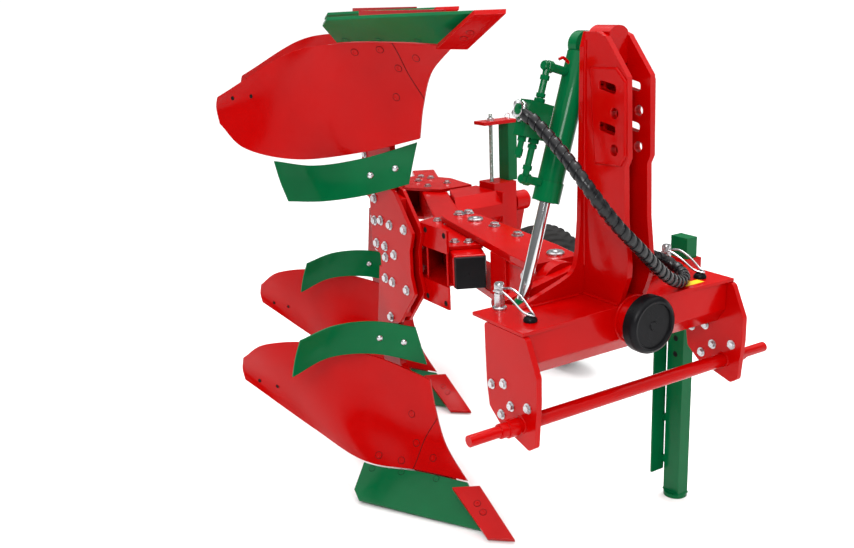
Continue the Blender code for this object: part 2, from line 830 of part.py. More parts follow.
SHARE_END = 0.5
SHIN = [
    (LANDSIDE_X, 0.557, 0.098),
    (LANDSIDE_X, 0.676, 0.177),
    (LANDSIDE_X, 0.728, 0.277),
    (LANDSIDE_X, 0.752, 0.366),
]
LOWER_EDGE = [
    (LANDSIDE_X, 0.557, 0.098),
    (-0.208, 0.719, 0.088),
    (-0.318, 0.883, 0.087),
    (-0.375, 1.129, 0.121),
    (-0.514, 1.380, 0.255),
]
TAIL = [(-0.514, 1.380, 0.255), (-0.512, 1.403, 0.290), (-0.515, 1.376, 0.338)]
UPPER_EDGE = [
    (LANDSIDE_X, 0.752, 0.366),
    (-0.235, 0.928, 0.414),
    (-0.372, 1.105, 0.440),
    (-0.480, 1.260, 0.410),
    (-0.515, 1.376, 0.338),
]


def coons(lower, upper, first, last, u, v):
    """The surface that fills four edges: lower and upper run along u, first and last along v."""
    u_grid, v_grid = np.meshgrid(u, v, indexing="ij")
    u_grid, v_grid = u_grid[..., None], v_grid[..., None]
    bottom, top = spline(lower, u)[:, None], spline(upper, u)[:, None]
    left, right = spline(first, v)[None], spline(last, v)[None]
    corners = (
        (1 - u_grid) * (1 - v_grid) * bottom[:1]
        + u_grid * (1 - v_grid) * bottom[-1:]
        + (1 - u_grid) * v_grid * top[:1]
        + u_grid * v_grid * top[-1:]
    )
    return (1 - v_grid) * bottom + v_grid * top + (1 - u_grid) * left + u_grid * right - corners


def sheet(grid, thickness, back):
    """A plate of this thickness on a grid of points, thickened along the direction given by back."""
    rows, columns = grid.shape[:2]
    along = np.gradient(grid, axis=0)
    up = np.gradient(grid, axis=1)
    normal = np.cross(along, up)
    normal /= np.linalg.norm(normal, axis=2, keepdims=True)
    if (normal.mean(axis=(0, 1)) * np.array(back)).sum() < 0:
        normal = -normal
    layers = np.stack([grid, grid + normal * thickness])
    bm = bmesh.new()
    verts = [[[bm.verts.new(p) for p in row] for row in layer] for layer in layers]
    for layer in verts:
        for i in range(rows - 1):
            for j in range(columns - 1):
                bm.faces.new((layer[i][j], layer[i + 1][j], layer[i + 1][j + 1], layer[i][j + 1]))
    rim = [(i, 0) for i in range(rows)] + [(rows - 1, j) for j in range(1, columns)]
    rim += [(i, columns - 1) for i in range(rows - 2, -1, -1)] + [(0, j) for j in range(columns - 2, 0, -1)]
    for (a, b), (c, d) in zip(rim, rim[1:] + rim[:1]):
        bm.faces.new((verts[0][a][b], verts[0][c][d], verts[1][c][d], verts[1][a][b]))
    bmesh.ops.triangulate(bm, faces=bm.faces)
    return to_mesh(bm)


def moldboard_grid(first, last, low, high, columns, rows):
    """Points on the moldboard's face between two stations along it and two up it."""
    u, v = np.linspace(first, last, columns), np.linspace(low, high, rows)
    return coons(LOWER_EDGE, UPPER_EDGE, SHIN, TAIL, u, v)


def moldboard_mesh():
    """The curved plate that turns the furrow slice."""
    return sheet(moldboard_grid(0, 1, 0, 1, 19, 9), MOLDBOARD_PLATE, (1, 1, 0))


def share_mesh():
    """The cutting plate under the moldboard's lower edge, with a cut-off outer corner."""
    seam = np.array((-0.001, -0.0025, -0.003))
    top = spline(LOWER_EDGE, np.linspace(0, SHARE_END, 6)) + seam
    inner_end, outer_end = (-0.172, 0.405, 0.012), (-0.396, 0.783, 0.018)
    outer_corner = (-0.389, 0.823, 0.034)
    low = np.linspace(inner_end, outer_end, 6)
    middle = (top + low) / 2
    middle[-1] = outer_corner
    return sheet(np.stack([top, middle, low], axis=1), SHARE_PLATE, (0.3, 0.3, -1))


def point_mesh():
    """The chisel point, a flat bar on top of the share's inner end."""
    inner = np.linspace((-0.129, 0.323, 0.003), (-0.123, 0.505, 0.094), 5)
    outer = np.linspace((-0.188, 0.377, 0.003), (-0.192, 0.552, 0.090), 5)
    return sheet(np.stack([inner, outer]), 0.014, (0, -0.4, 1))


def trashboard_mesh():
    """The small curved plate above the moldboard's front, which lays trash in the furrow."""
    lower = [(-0.102, 0.820, 0.387), (-0.235, 0.908, 0.428), (-0.380, 0.950, 0.438), (-0.514, 0.943, 0.407)]
    upper = [(-0.126, 0.840, 0.514), (-0.240, 0.902, 0.541), (-0.365, 0.930, 0.546), (-0.488, 0.921, 0.527)]
    inner = [lower[0], (-0.112, 0.834, 0.450), upper[0]]
    outer = [lower[-1], (-0.503, 0.935, 0.467), upper[-1]]
    grid = coons(lower, upper, inner, outer, np.linspace(0, 1, 10), np.linspace(0, 1, 4))
    return sheet(grid, TRASHBOARD_PLATE, (0, 1, 0))


def leg_mesh():
    """The plough leg, a thick plate from the side plates down to the frog."""
    outline = [
        (0.840, 0.690),
        (0.840, 0.556),
        (0.892, 0.545),
        (0.892, 0.380),
        (0.832, 0.350),
        (0.818, 0.270),
        (0.782, 0.200),
        (0.740, 0.150),
        (0.722, 0.130),
        (0.850, 0.130),
        (0.930, 0.210),
        (1.000, 0.360),
        (1.035, 0.480),
        (1.000, 0.690),
    ]
    half = LEG_THICKNESS / 2
    return plate(outline, "X", LEG_CENTRE_X - half, LEG_CENTRE_X + half)


def frog_mesh():
    """The landside bar with the web that joins it to the leg's foot."""
    face = LEG_CENTRE_X + LEG_THICKNESS / 2 + FIT
    outline = [
        (0.600, 0.002),
        (1.080, 0.002),
        (1.090, 0.090),
        (0.850, 0.110),
        (0.830, 0.190),
        (0.740, 0.190),
        (0.690, 0.110),
        (0.640, 0.090),
    ]
    return plate(outline, "X", face, face + 0.012)


def build_bodies(pivot):
    """The four plough bodies: each piece is one mesh, placed twice below and twice mirrored above."""
    pieces = {
        "leg": (leg_mesh(), RED),
        "landside": (frog_mesh(), RED),
        "moldboard": (moldboard_mesh(), RED),
        "share": (share_mesh(), GREEN),
        "point": (point_mesh(), RED),
        "trashboard": (trashboard_mesh(), GREEN),
    }
    for furrow, count in (("front", 0), ("rear", 1)):
        for level, side in (("lower", 1), ("upper", -1)):
            for kind, (mesh, finish) in pieces.items():
                obj = node(f"{furrow}_{level}_{kind}", mesh.copy(), finish, pivot)
                obj.location += body_step() * count
                if side < 0:
                    obj.scale.z = -1
                    obj.location.z += 2 * TURN_Z


# ------------------------------------------------------------ wheel and stand


def build_wheel_bracket(pivot):
    """The bar beside the beam with the socket box that carries the stop post and the arm's pivot."""
    half = BEAM_SIZE / 2 + FIT
    front, back = WHEEL_PIVOT_Y - 0.100, WHEEL_PIVOT_Y + 0.085
    reach = 0.065
    outline = [
        beam_point(beam_along(front, half), half),
        (SOCKET_BOX[0] + 0.01, front),
        (SOCKET_BOX[0] + 0.01, back),
        beam_point(beam_along(back, half), half),
    ]
    obj = node("wheel_bracket", plate(outline, "Z", TURN_Z - reach, TURN_Z + reach), RED, pivot)
    for side in (-1, 1):
        edge = TURN_Z + side * (reach + 0.001)
        slope = [(front - 0.001, edge), (front + 0.045, edge), (front - 0.001, edge - side * 0.045)]
        cut(obj, plate(slope, "X", 0.0, SOCKET_BOX[0]))
    side_y = 0.050
    depth = SOCKET_TOP - TURN_Z
    low = (SOCKET_BOX[0], WHEEL_PIVOT_Y - side_y, TURN_Z - depth)
    add(obj, box(low, (SOCKET_BOX[1], WHEEL_PIVOT_Y + side_y, SOCKET_TOP)))
    axis = (WHEEL_PIVOT_Y, TURN_Z)
    add(obj, rod((SOCKET_BOX[1] - 0.02, *axis), (WHEEL_PIVOT_X + 0.075, *axis), 0.020, 24))


def build_wheel_arm(pivot):
    """The swinging arm of the depth wheel, with its stub axle."""
    y, z = WHEEL_PIVOT_Y, TURN_Z
    wheel_z = WHEEL_RADIUS + WHEEL_CLEARANCE
    low = WHEEL_PIVOT_X + 0.006
    obj = node("wheel_arm", rod((low, y, z), (low + 0.060, y, z), 0.038, 28), RED, pivot)
    along = Vector((0, WHEEL_Y - y, wheel_z - z)).normalized()
    side = Vector((0, -along.z, along.y)) * 0.022
    start, end = Vector((0, y, z)), Vector((0, WHEEL_Y, wheel_z))
    bar = [start + side, end + side, end - side, start - side]
    add(obj, plate([(p.y, p.z) for p in bar], "X", low + 0.012, low + 0.048))
    add(obj, rod((low, WHEEL_Y, wheel_z), (low + 0.060, WHEEL_Y, wheel_z), 0.030, 24))
    add(obj, rod((low + 0.05, WHEEL_Y, wheel_z), (WHEEL_X + 0.055, WHEEL_Y, wheel_z), AXLE_RADIUS, 24))
    cut(obj, rod((0, y, z), (2, y, z), 0.020 + RUNNING_FIT, 24))


def build_wheel_stop_post(pivot):
    """The post whose screw sets how far the wheel arm can swing."""
    x, y = POST_X, WHEEL_PIVOT_Y
    half_x, half_y = POST_SIZE[0] / 2, POST_SIZE[1] / 2
    foot = SOCKET_TOP + FIT
    post = box((x - half_x, y - half_y, foot), (x + half_x, y + half_y, POST_TOP))
    obj = node("wheel_stop_post", post, GREEN, pivot)
    add(obj, box((x - 0.130, y - 0.034, POST_TOP - 0.002), (x + half_x, y + 0.034, POST_TOP + 0.010)))
    screw = x - 0.078
    add(obj, rod((screw, y, foot), (screw, y, POST_TOP + 0.034), 0.007, 12))


def build_wheel(pivot):
    """The depth wheel: a tyre on a steel rim that turns on the stub axle."""
    z = WHEEL_RADIUS + WHEEL_CLEARANCE
    centre = (WHEEL_X, WHEEL_Y, z)
    half = WHEEL_WIDTH / 2
    inner = RIM_RADIUS + FIT
    tyre = [
        (inner, -half * 0.78),
        (inner + 0.020, -half * 0.95),
        (WHEEL_RADIUS - 0.045, -half),
        (WHEEL_RADIUS - 0.012, -half * 0.80),
        (WHEEL_RADIUS, -half * 0.45),
        (WHEEL_RADIUS, half * 0.45),
        (WHEEL_RADIUS - 0.012, half * 0.80),
        (WHEEL_RADIUS - 0.045, half),
        (inner + 0.020, half * 0.95),
        (inner, half * 0.78),
    ]
    node("wheel_tyre", turned(tyre, centre, "X", 40), RUBBER, pivot)
    bore = AXLE_RADIUS + RUNNING_FIT
    rim = [
        (bore, -0.030),
        (0.040, -0.030),
        (0.045, -0.010),
        (RIM_RADIUS - 0.030, -0.004),
        (RIM_RADIUS - 0.014, -half * 0.60),
        (RIM_RADIUS, -half * 0.70),
        (RIM_RADIUS, half * 0.70),
        (RIM_RADIUS - 0.014, half * 0.60),
        (RIM_RADIUS - 0.030, 0.006),
        (0.045, 0.010),
        (0.040, 0.030),
        (bore, 0.030),
    ]
    node("wheel_rim", turned(rim, centre, "X", 40), STEEL, pivot)


def build_stand(pivot):
    """The parking stand: a square tube with a round foot."""
    low, high = stand_bore(0.0)
    obj = node("stand_leg", box((*low, FOOT_PLATE - 0.002), (*high, STAND_TOP)), GREEN, pivot)
    add(obj, rod((STAND_X, STAND_Y, 0.0), (STAND_X, STAND_Y, FOOT_PLATE), FOOT_RADIUS, 32))


# ----------------------------------------------------------------- assembly


def build_plough():
    """Builds every piece under the pivot that it moves with."""
    root = Pivot("plough", (0, 0, 0))
    build_crossbeam(root)
    build_end_plates(root)
    build_cross_shaft(root)
    build_mast_back_plate(root)
    build_mast_plates(root)
    build_mast_pin(root)
    build_shaft_housing(root)
    build_shaft_cap(root)
    build_locking_pins(root)
    build_stand_bracket(root)
    build_hose(root)
    top, _, length = cylinder_axis()
    swing = Pivot("cylinder_swing_axis", top, root)
    build_cylinder_barrel(swing)
    build_valve_block(swing)
    build_cylinder_rod(Pivot("rod_slide_axis", top, swing))
    frame = Pivot("turnover_axis", (0, CRANK_FRONT, TURN_Z), root)
    build_turnover_shaft(frame)
    build_crank_arm(frame)
    build_main_beam(frame)
    build_beam_cap(frame)
    build_swing_arm(frame)
    build_leg_plates(frame)
    build_leg_brackets(frame)
    build_bodies(frame)
    build_wheel_bracket(frame)
    build_wheel_stop_post(frame)
    arm = Pivot("wheel_arm_axis", (WHEEL_PIVOT_X, WHEEL_PIVOT_Y, TURN_Z), frame)
    build_wheel_arm(arm)
    build_wheel(Pivot("wheel_axle", (WHEEL_X, WHEEL_Y, WHEEL_RADIUS + WHEEL_CLEARANCE), arm))
    build_stand(Pivot("stand_axis", (STAND_X, STAND_Y, 0), root))
    return root


def centre_on_footprint(root):
    """Moves the root so that the origin is the middle of the plough's footprint, on the ground."""
    graph = bpy.context.evaluated_depsgraph_get()
    corners = []
    for obj in PARTS.objects:
        if obj.type == "MESH":
            shape = obj.evaluated_get(graph)
            mesh = shape.to_mesh()
            points = np.empty(len(mesh.vertices) * 3, np.float32)
            mesh.vertices.foreach_get("co", points)
            world = np.array(shape.matrix_world)
            points = points.reshape(-1, 3) @ world[:3, :3].T + world[:3, 3]
            corners += [points.min(axis=0), points.max(axis=0)]
            shape.to_mesh_clear()
    low, high = np.min(corners, axis=0), np.max(corners, axis=0)
    root.empty.location = (-(low[0] + high[0]) / 2, -(low[1] + high[1]) / 2, -low[2])


centre_on_footprint(build_plough())
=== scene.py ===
"""Looks of a two-furrow reversible moldboard plough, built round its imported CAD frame."""

import json
import logging
import math
from dataclasses import dataclass, field
from enum import Enum
from typing import Iterable, Sequence

import bmesh
import bpy
import numpy as np
from mathutils import Matrix, Vector


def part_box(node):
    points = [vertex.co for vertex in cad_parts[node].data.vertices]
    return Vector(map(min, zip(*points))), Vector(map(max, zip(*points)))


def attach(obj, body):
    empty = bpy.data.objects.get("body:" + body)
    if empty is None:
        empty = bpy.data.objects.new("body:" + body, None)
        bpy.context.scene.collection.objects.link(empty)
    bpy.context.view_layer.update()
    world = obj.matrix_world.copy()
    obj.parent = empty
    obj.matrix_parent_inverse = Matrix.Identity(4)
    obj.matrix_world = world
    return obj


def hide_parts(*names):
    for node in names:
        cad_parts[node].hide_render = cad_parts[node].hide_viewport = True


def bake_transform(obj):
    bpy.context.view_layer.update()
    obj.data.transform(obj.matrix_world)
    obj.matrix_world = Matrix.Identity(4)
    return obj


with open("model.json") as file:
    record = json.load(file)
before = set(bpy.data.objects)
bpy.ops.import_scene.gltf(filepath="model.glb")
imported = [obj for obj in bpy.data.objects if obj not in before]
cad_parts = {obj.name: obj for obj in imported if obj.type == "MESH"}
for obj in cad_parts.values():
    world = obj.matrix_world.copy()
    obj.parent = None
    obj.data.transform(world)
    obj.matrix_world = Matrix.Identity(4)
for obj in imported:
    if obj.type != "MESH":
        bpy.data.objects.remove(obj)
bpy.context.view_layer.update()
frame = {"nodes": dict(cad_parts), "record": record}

LOG = logging.getLogger("plough")
Array = np.ndarray
Point = Sequence[float]
Points = Sequence[Point]
X_AXIS = np.array((1.0, 0.0, 0.0))
Y_AXIS = np.array((0.0, 1.0, 0.0))
Z_AXIS = np.array((0.0, 0.0, 1.0))
# How near two points are merged, on new surfaces and on a CAD node's loose triangles.
MERGE_NEW = 1e-6
MERGE_CAD = 1e-5
SLIVER = 1e-7
FLAT_ANGLE = math.radians(1.0)
ROUNDED_ANGLE = math.radians(30.0)


class Body(Enum):
    """The moving bodies of the plough that pieces ride on."""

    HEADSTOCK = "headstock"
    BARREL = "cylinder_barrel"
    ROD = "cylinder_rod"
    FRAME = "frame"
    WHEEL_ARM = "wheel_arm"
    WHEEL = "wheel"
    STAND = "stand"


class Slot(Enum):
    """The record's material slots."""

    RED = "red_paint"
    GREEN = "green_paint"
    CHROME = "chrome"
    ZINC = "zinc_steel"
    BLACK = "black_plastic"
    HOSE = "hose_black"
    TYRE = "tyre"


def box_of(node: str) -> tuple[Array, Array]:
    """The lowest and highest corners of a CAD node.

    Args:
        node: The node's name.

    Returns:
        Two points.
    """
    low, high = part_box(node)
    return np.array(low, float), np.array(high, float)


def middle(node: str) -> Array:
    """The centre of a CAD node's box."""
    low, high = box_of(node)
    return (low + high) / 2


# The plough's own zero: the middle of the cross shaft, carried down to the ground.
CROSS_SHAFT_HEIGHT = 0.556
TURN_HEIGHT = 0.745
ORIGIN = middle("cross_shaft") - np.array((0.0, 0.0, CROSS_SHAFT_HEIGHT))


def at(x: float, y: float, z: float) -> Array:
    """A place given from the cross shaft's middle across and along, and from the ground up."""
    return ORIGIN + np.array((x, y, z), float)


# ------------------------------------------------------------------ finishes


PEEL_HEIGHT = 0.001


class Nodes:
    """A short way to wire a material's nodes."""

    def __init__(self, name: str) -> None:
        """Makes a material with a Principled shader.

        Args:
            name: The material's name.
        """
        self.material = bpy.data.materials.new(name)
        self.material.use_nodes = True
        self.tree = self.material.node_tree
        self.shader = self.tree.nodes["Principled BSDF"]
        self.place = self.tree.nodes.new("ShaderNodeTexCoord").outputs["Object"]

    def add(self, kind: str, inputs: dict | None = None, **settings: object) -> bpy.types.Node:
        """Adds a node.

        Args:
            kind: The node's type.
            inputs: Socket values, or sockets to link from.
            **settings: Attributes of the node.

        Returns:
            The node.
        """
        node = self.tree.nodes.new(kind)
        for key, value in settings.items():
            setattr(node, key, value)
        for key, value in (inputs or {}).items():
            self.feed(node, key, value)
        return node

    def feed(self, node: bpy.types.Node, socket: str | int, value: object) -> None:
        """Sets a socket to a value, or links it to another node's output.

        Args:
            node: The node.
            socket: The socket's name or number.
            value: The value, or the output to link from.
        """
        if isinstance(value, bpy.types.NodeSocket):
            self.tree.links.new(value, node.inputs[socket])
        else:
            node.inputs[socket].default_value = value

    def noise(self, scale: float, detail: float = 2.0, stretch: Point = (1, 1, 1)) -> bpy.types.NodeSocket:
        """A noise in object space.

        Args:
            scale: How fine it is.
            detail: How many finer layers it has.
            stretch: How much finer it is along each axis.

        Returns:
            Its factor.
        """
        mapped = self.add("ShaderNodeMapping", {"Vector": self.place, "Scale": tuple(stretch)})
        noise = self.add(
            "ShaderNodeTexNoise", {"Vector": mapped.outputs[0], "Scale": scale, "Detail": detail}
        )
        return noise.outputs["Fac"]

    def spread(self, source: bpy.types.NodeSocket, low: float, high: float) -> bpy.types.NodeSocket:
        """Maps a noise, which keeps to about 0.3 to 0.7, straight to the range low to high.

        Args:
            source: The noise's factor.
            low: What 0.3 becomes.
            high: What 0.7 becomes.

        Returns:
            The mapped factor.
        """
        return self.add(
            "ShaderNodeMapRange",
            {"Value": source, "From Min": 0.3, "From Max": 0.7, "To Min": low, "To Max": high},
        ).outputs["Result"]

    def blend_colour(self, factor: object, first: Point, second: Point) -> bpy.types.NodeSocket:
        """Mixes two colours by a factor.

        Args:
            factor: 0 for the first colour, 1 for the second.
            first: Linear RGB.
            second: Linear RGB.

        Returns:
            The mixed colour.
        """
        mix = self.add("ShaderNodeMix", data_type="RGBA")
        self.feed(mix, 0, factor)
        for index, colour in ((6, first), (7, second)):
            value = colour if isinstance(colour, bpy.types.NodeSocket) else (*colour[:3], 1.0)
            self.feed(mix, index, value)
        return mix.outputs[2]

    def bump(self, height: bpy.types.NodeSocket, strength: float, distance: float) -> None:
        """Feeds a height into the shader's normal.

        Args:
            height: The height's factor.
            strength: How strong the bump is.
            distance: How high a factor of 1 stands, in metres.
        """
        node = self.add(
            "ShaderNodeBump", {"Height": height, "Strength": strength, "Distance": distance}
        )
        self.feed(self.shader, "Normal", node.outputs[0])


@dataclass(frozen=True)
class Paint:
    """Sprayed enamel: a clear-coated colour with slight cloudiness and orange peel.

    Attributes:
        name: The material's name.
        colour: Linear RGB of the sunlit paint.
        shade: Linear RGB of the thinner, darker patches.
        roughness: Roughness under the gloss.
        coat: Weight of the clear gloss.
        peel: Strength of the orange-peel bump.
        slot: The record's slot.
        coat_roughness: Roughness of the clear gloss.
        shine: How much the colour under the gloss reflects.
    """

    name: str
    colour: Point
    shade: Point
    roughness: float = 0.32
    coat: float = 0.06
    peel: float = 0.035
    slot: Slot = Slot.RED
    coat_roughness: float = 0.07
    shine: float = 0.09

    def build(self) -> bpy.types.Material:
        """Makes the material: two clouds of noise mix the colours, and a fine one is the peel."""
        nodes = Nodes(self.name)
        clouds = nodes.spread(nodes.noise(5.0, 3.0), 0.0, 1.0)
        nodes.feed(nodes.shader, "Base Color", nodes.blend_colour(clouds, self.shade, self.colour))
        rough = nodes.spread(nodes.noise(38.0, 4.0), self.roughness - 0.06, self.roughness + 0.08)
        nodes.feed(nodes.shader, "Roughness", rough)
        nodes.shader.inputs["Coat Weight"].default_value = self.coat
        nodes.shader.inputs["Coat Roughness"].default_value = self.coat_roughness
        nodes.shader.inputs["Specular IOR Level"].default_value = self.shine
        nodes.bump(nodes.noise(420.0, 2.0), self.peel, PEEL_HEIGHT)
        return nodes.material


@dataclass(frozen=True)
class Metal:
    """Bare or plated metal with a fine grain along one axis.

    Attributes:
        name: The material's name.
        colour: Linear RGB.
        tint: Linear RGB of the stained patches.
        roughness: Mean roughness.
        grain: How the grain's noise is stretched along X, Y and Z.
        scale: The grain's scale.
        slot: The record's slot.
        bump: Strength of the grain's bump.
    """

    name: str
    colour: Point
    tint: Point
    roughness: float
    grain: Point = (1.0, 1.0, 1.0)
    scale: float = 160.0
    slot: Slot = Slot.ZINC
    bump: float = 0.04

    def build(self) -> bpy.types.Material:
        """Makes the material: patches of tint, and grain in the roughness and the bump."""
        nodes = Nodes(self.name)
        nodes.shader.inputs["Metallic"].default_value = 1.0
        patches = nodes.spread(nodes.noise(30.0, 4.0), 0.0, 1.0)
        nodes.feed(nodes.shader, "Base Color", nodes.blend_colour(patches, self.colour, self.tint))
        grain = nodes.noise(self.scale, 3.0, self.grain)
        low, high = self.roughness * 0.8, self.roughness * 1.25
        nodes.feed(nodes.shader, "Roughness", nodes.spread(grain, low, high))
        nodes.bump(grain, self.bump, PEEL_HEIGHT)
        return nodes.material


@dataclass(frozen=True)
class Polymer:
    """Moulded plastic or rubber with a fine matt texture.

    Attributes:
        name: The material's name.
        colour: Linear RGB.
        bloom: Linear RGB of the lighter, dusty patches.
        roughness: Mean roughness.
        texture: Strength of the moulded grain.
        slot: The record's slot.
        shine: How much it reflects.
    """

    name: str
    colour: Point
    bloom: Point
    roughness: float
    texture: float = 0.12
    slot: Slot = Slot.BLACK
    shine: float = 0.1

    def build(self) -> bpy.types.Material:
        """Makes the material: a dusty bloom over the colour, and a fine moulded grain."""
        nodes = Nodes(self.name)
        bloom = nodes.spread(nodes.noise(9.0, 5.0), 0.0, 1.0)
        nodes.feed(nodes.shader, "Base Color", nodes.blend_colour(bloom, self.colour, self.bloom))
        low, high = self.roughness - 0.08, self.roughness + 0.08
        nodes.feed(nodes.shader, "Roughness", nodes.spread(nodes.noise(60.0, 3.0), low, high))
        nodes.shader.inputs["Specular IOR Level"].default_value = self.shine
        nodes.bump(nodes.noise(700.0, 2.0), self.texture, PEEL_HEIGHT)
        return nodes.material


Finish = Paint | Metal | Polymer

RED = Paint("red_enamel", (0.39, 0.0004, 0.0004), (0.33, 0.0003, 0.0003), roughness=0.18)
GREEN = Paint("green_enamel", (0.0004, 0.105, 0.032), (0.0003, 0.080, 0.024), roughness=0.18, slot=Slot.GREEN)
YELLOW = Paint("yellow_label", (0.80, 0.52, 0.02), (0.70, 0.45, 0.02), coat=0.3)
CHROME = Metal("hard_chrome", (0.86, 0.87, 0.88), (0.80, 0.82, 0.84), 0.10, slot=Slot.CHROME)
ZINC = Metal("zinc_plate", (0.56, 0.56, 0.58), (0.42, 0.42, 0.43), 0.28)
STEEL = Metal("turned_steel", (0.50, 0.50, 0.50), (0.40, 0.40, 0.40), 0.30)
PLASTIC = Polymer("black_plastic", (0.0025, 0.0025, 0.003), (0.005, 0.005, 0.006), 0.34)
GUARD = Polymer("hose_guard", (0.003, 0.003, 0.004), (0.007, 0.007, 0.008), 0.28, slot=Slot.HOSE, shine=0.3)
RUBBER = Polymer("tyre_rubber", (0.010, 0.010, 0.010), (0.022, 0.021, 0.020), 0.72, slot=Slot.TYRE)
# Black for the painted shade in holes, and for the dark seam lines and the lines round flush heads.
DARK = Polymer("shadow_black", (0.003, 0.003, 0.003), (0.006, 0.006, 0.006), 0.8)


class Palette:
    """Builds each finish once and hands out its material."""

    def __init__(self) -> None:
        """Starts with no materials."""
        self.made: dict[str, bpy.types.Material] = {}

    def get(self, finish: Finish) -> bpy.types.Material:
        """The material of a finish.

        Args:
            finish: The finish.

        Returns:
            Its material, the same one each time.
        """
        if finish.name not in self.made:
            self.made[finish.name] = finish.build()
        return self.made[finish.name]


PALETTE = Palette()


# ------------------------------------------------------------------- shapes


# A screw head's rise above its plate, and a weld bead's steps, ripples and the ripples' share of its size.
HEAD_RISE = 0.0012
WELD_STATION = 0.0016
WELD_RIPPLE = 0.0042
WELD_SWELL = 0.16


def unit(vector: Array) -> Array:
    """The vector at length 1, along its last axis."""
    return vector / np.maximum(np.linalg.norm(vector, axis=-1, keepdims=True), 1e-12)


def basis(axis: Array) -> Array:
    """A right-handed set of three unit vectors as rows, the third along the axis.

    Args:
        axis: The third's direction.

    Returns:
        (3, 3) rows.
    """
    third = unit(np.asarray(axis, float))
    helper = X_AXIS if abs(third[0]) < 0.8 else Y_AXIS
    first = unit(np.cross(helper, third))
    return np.stack([first, np.cross(third, first), third])


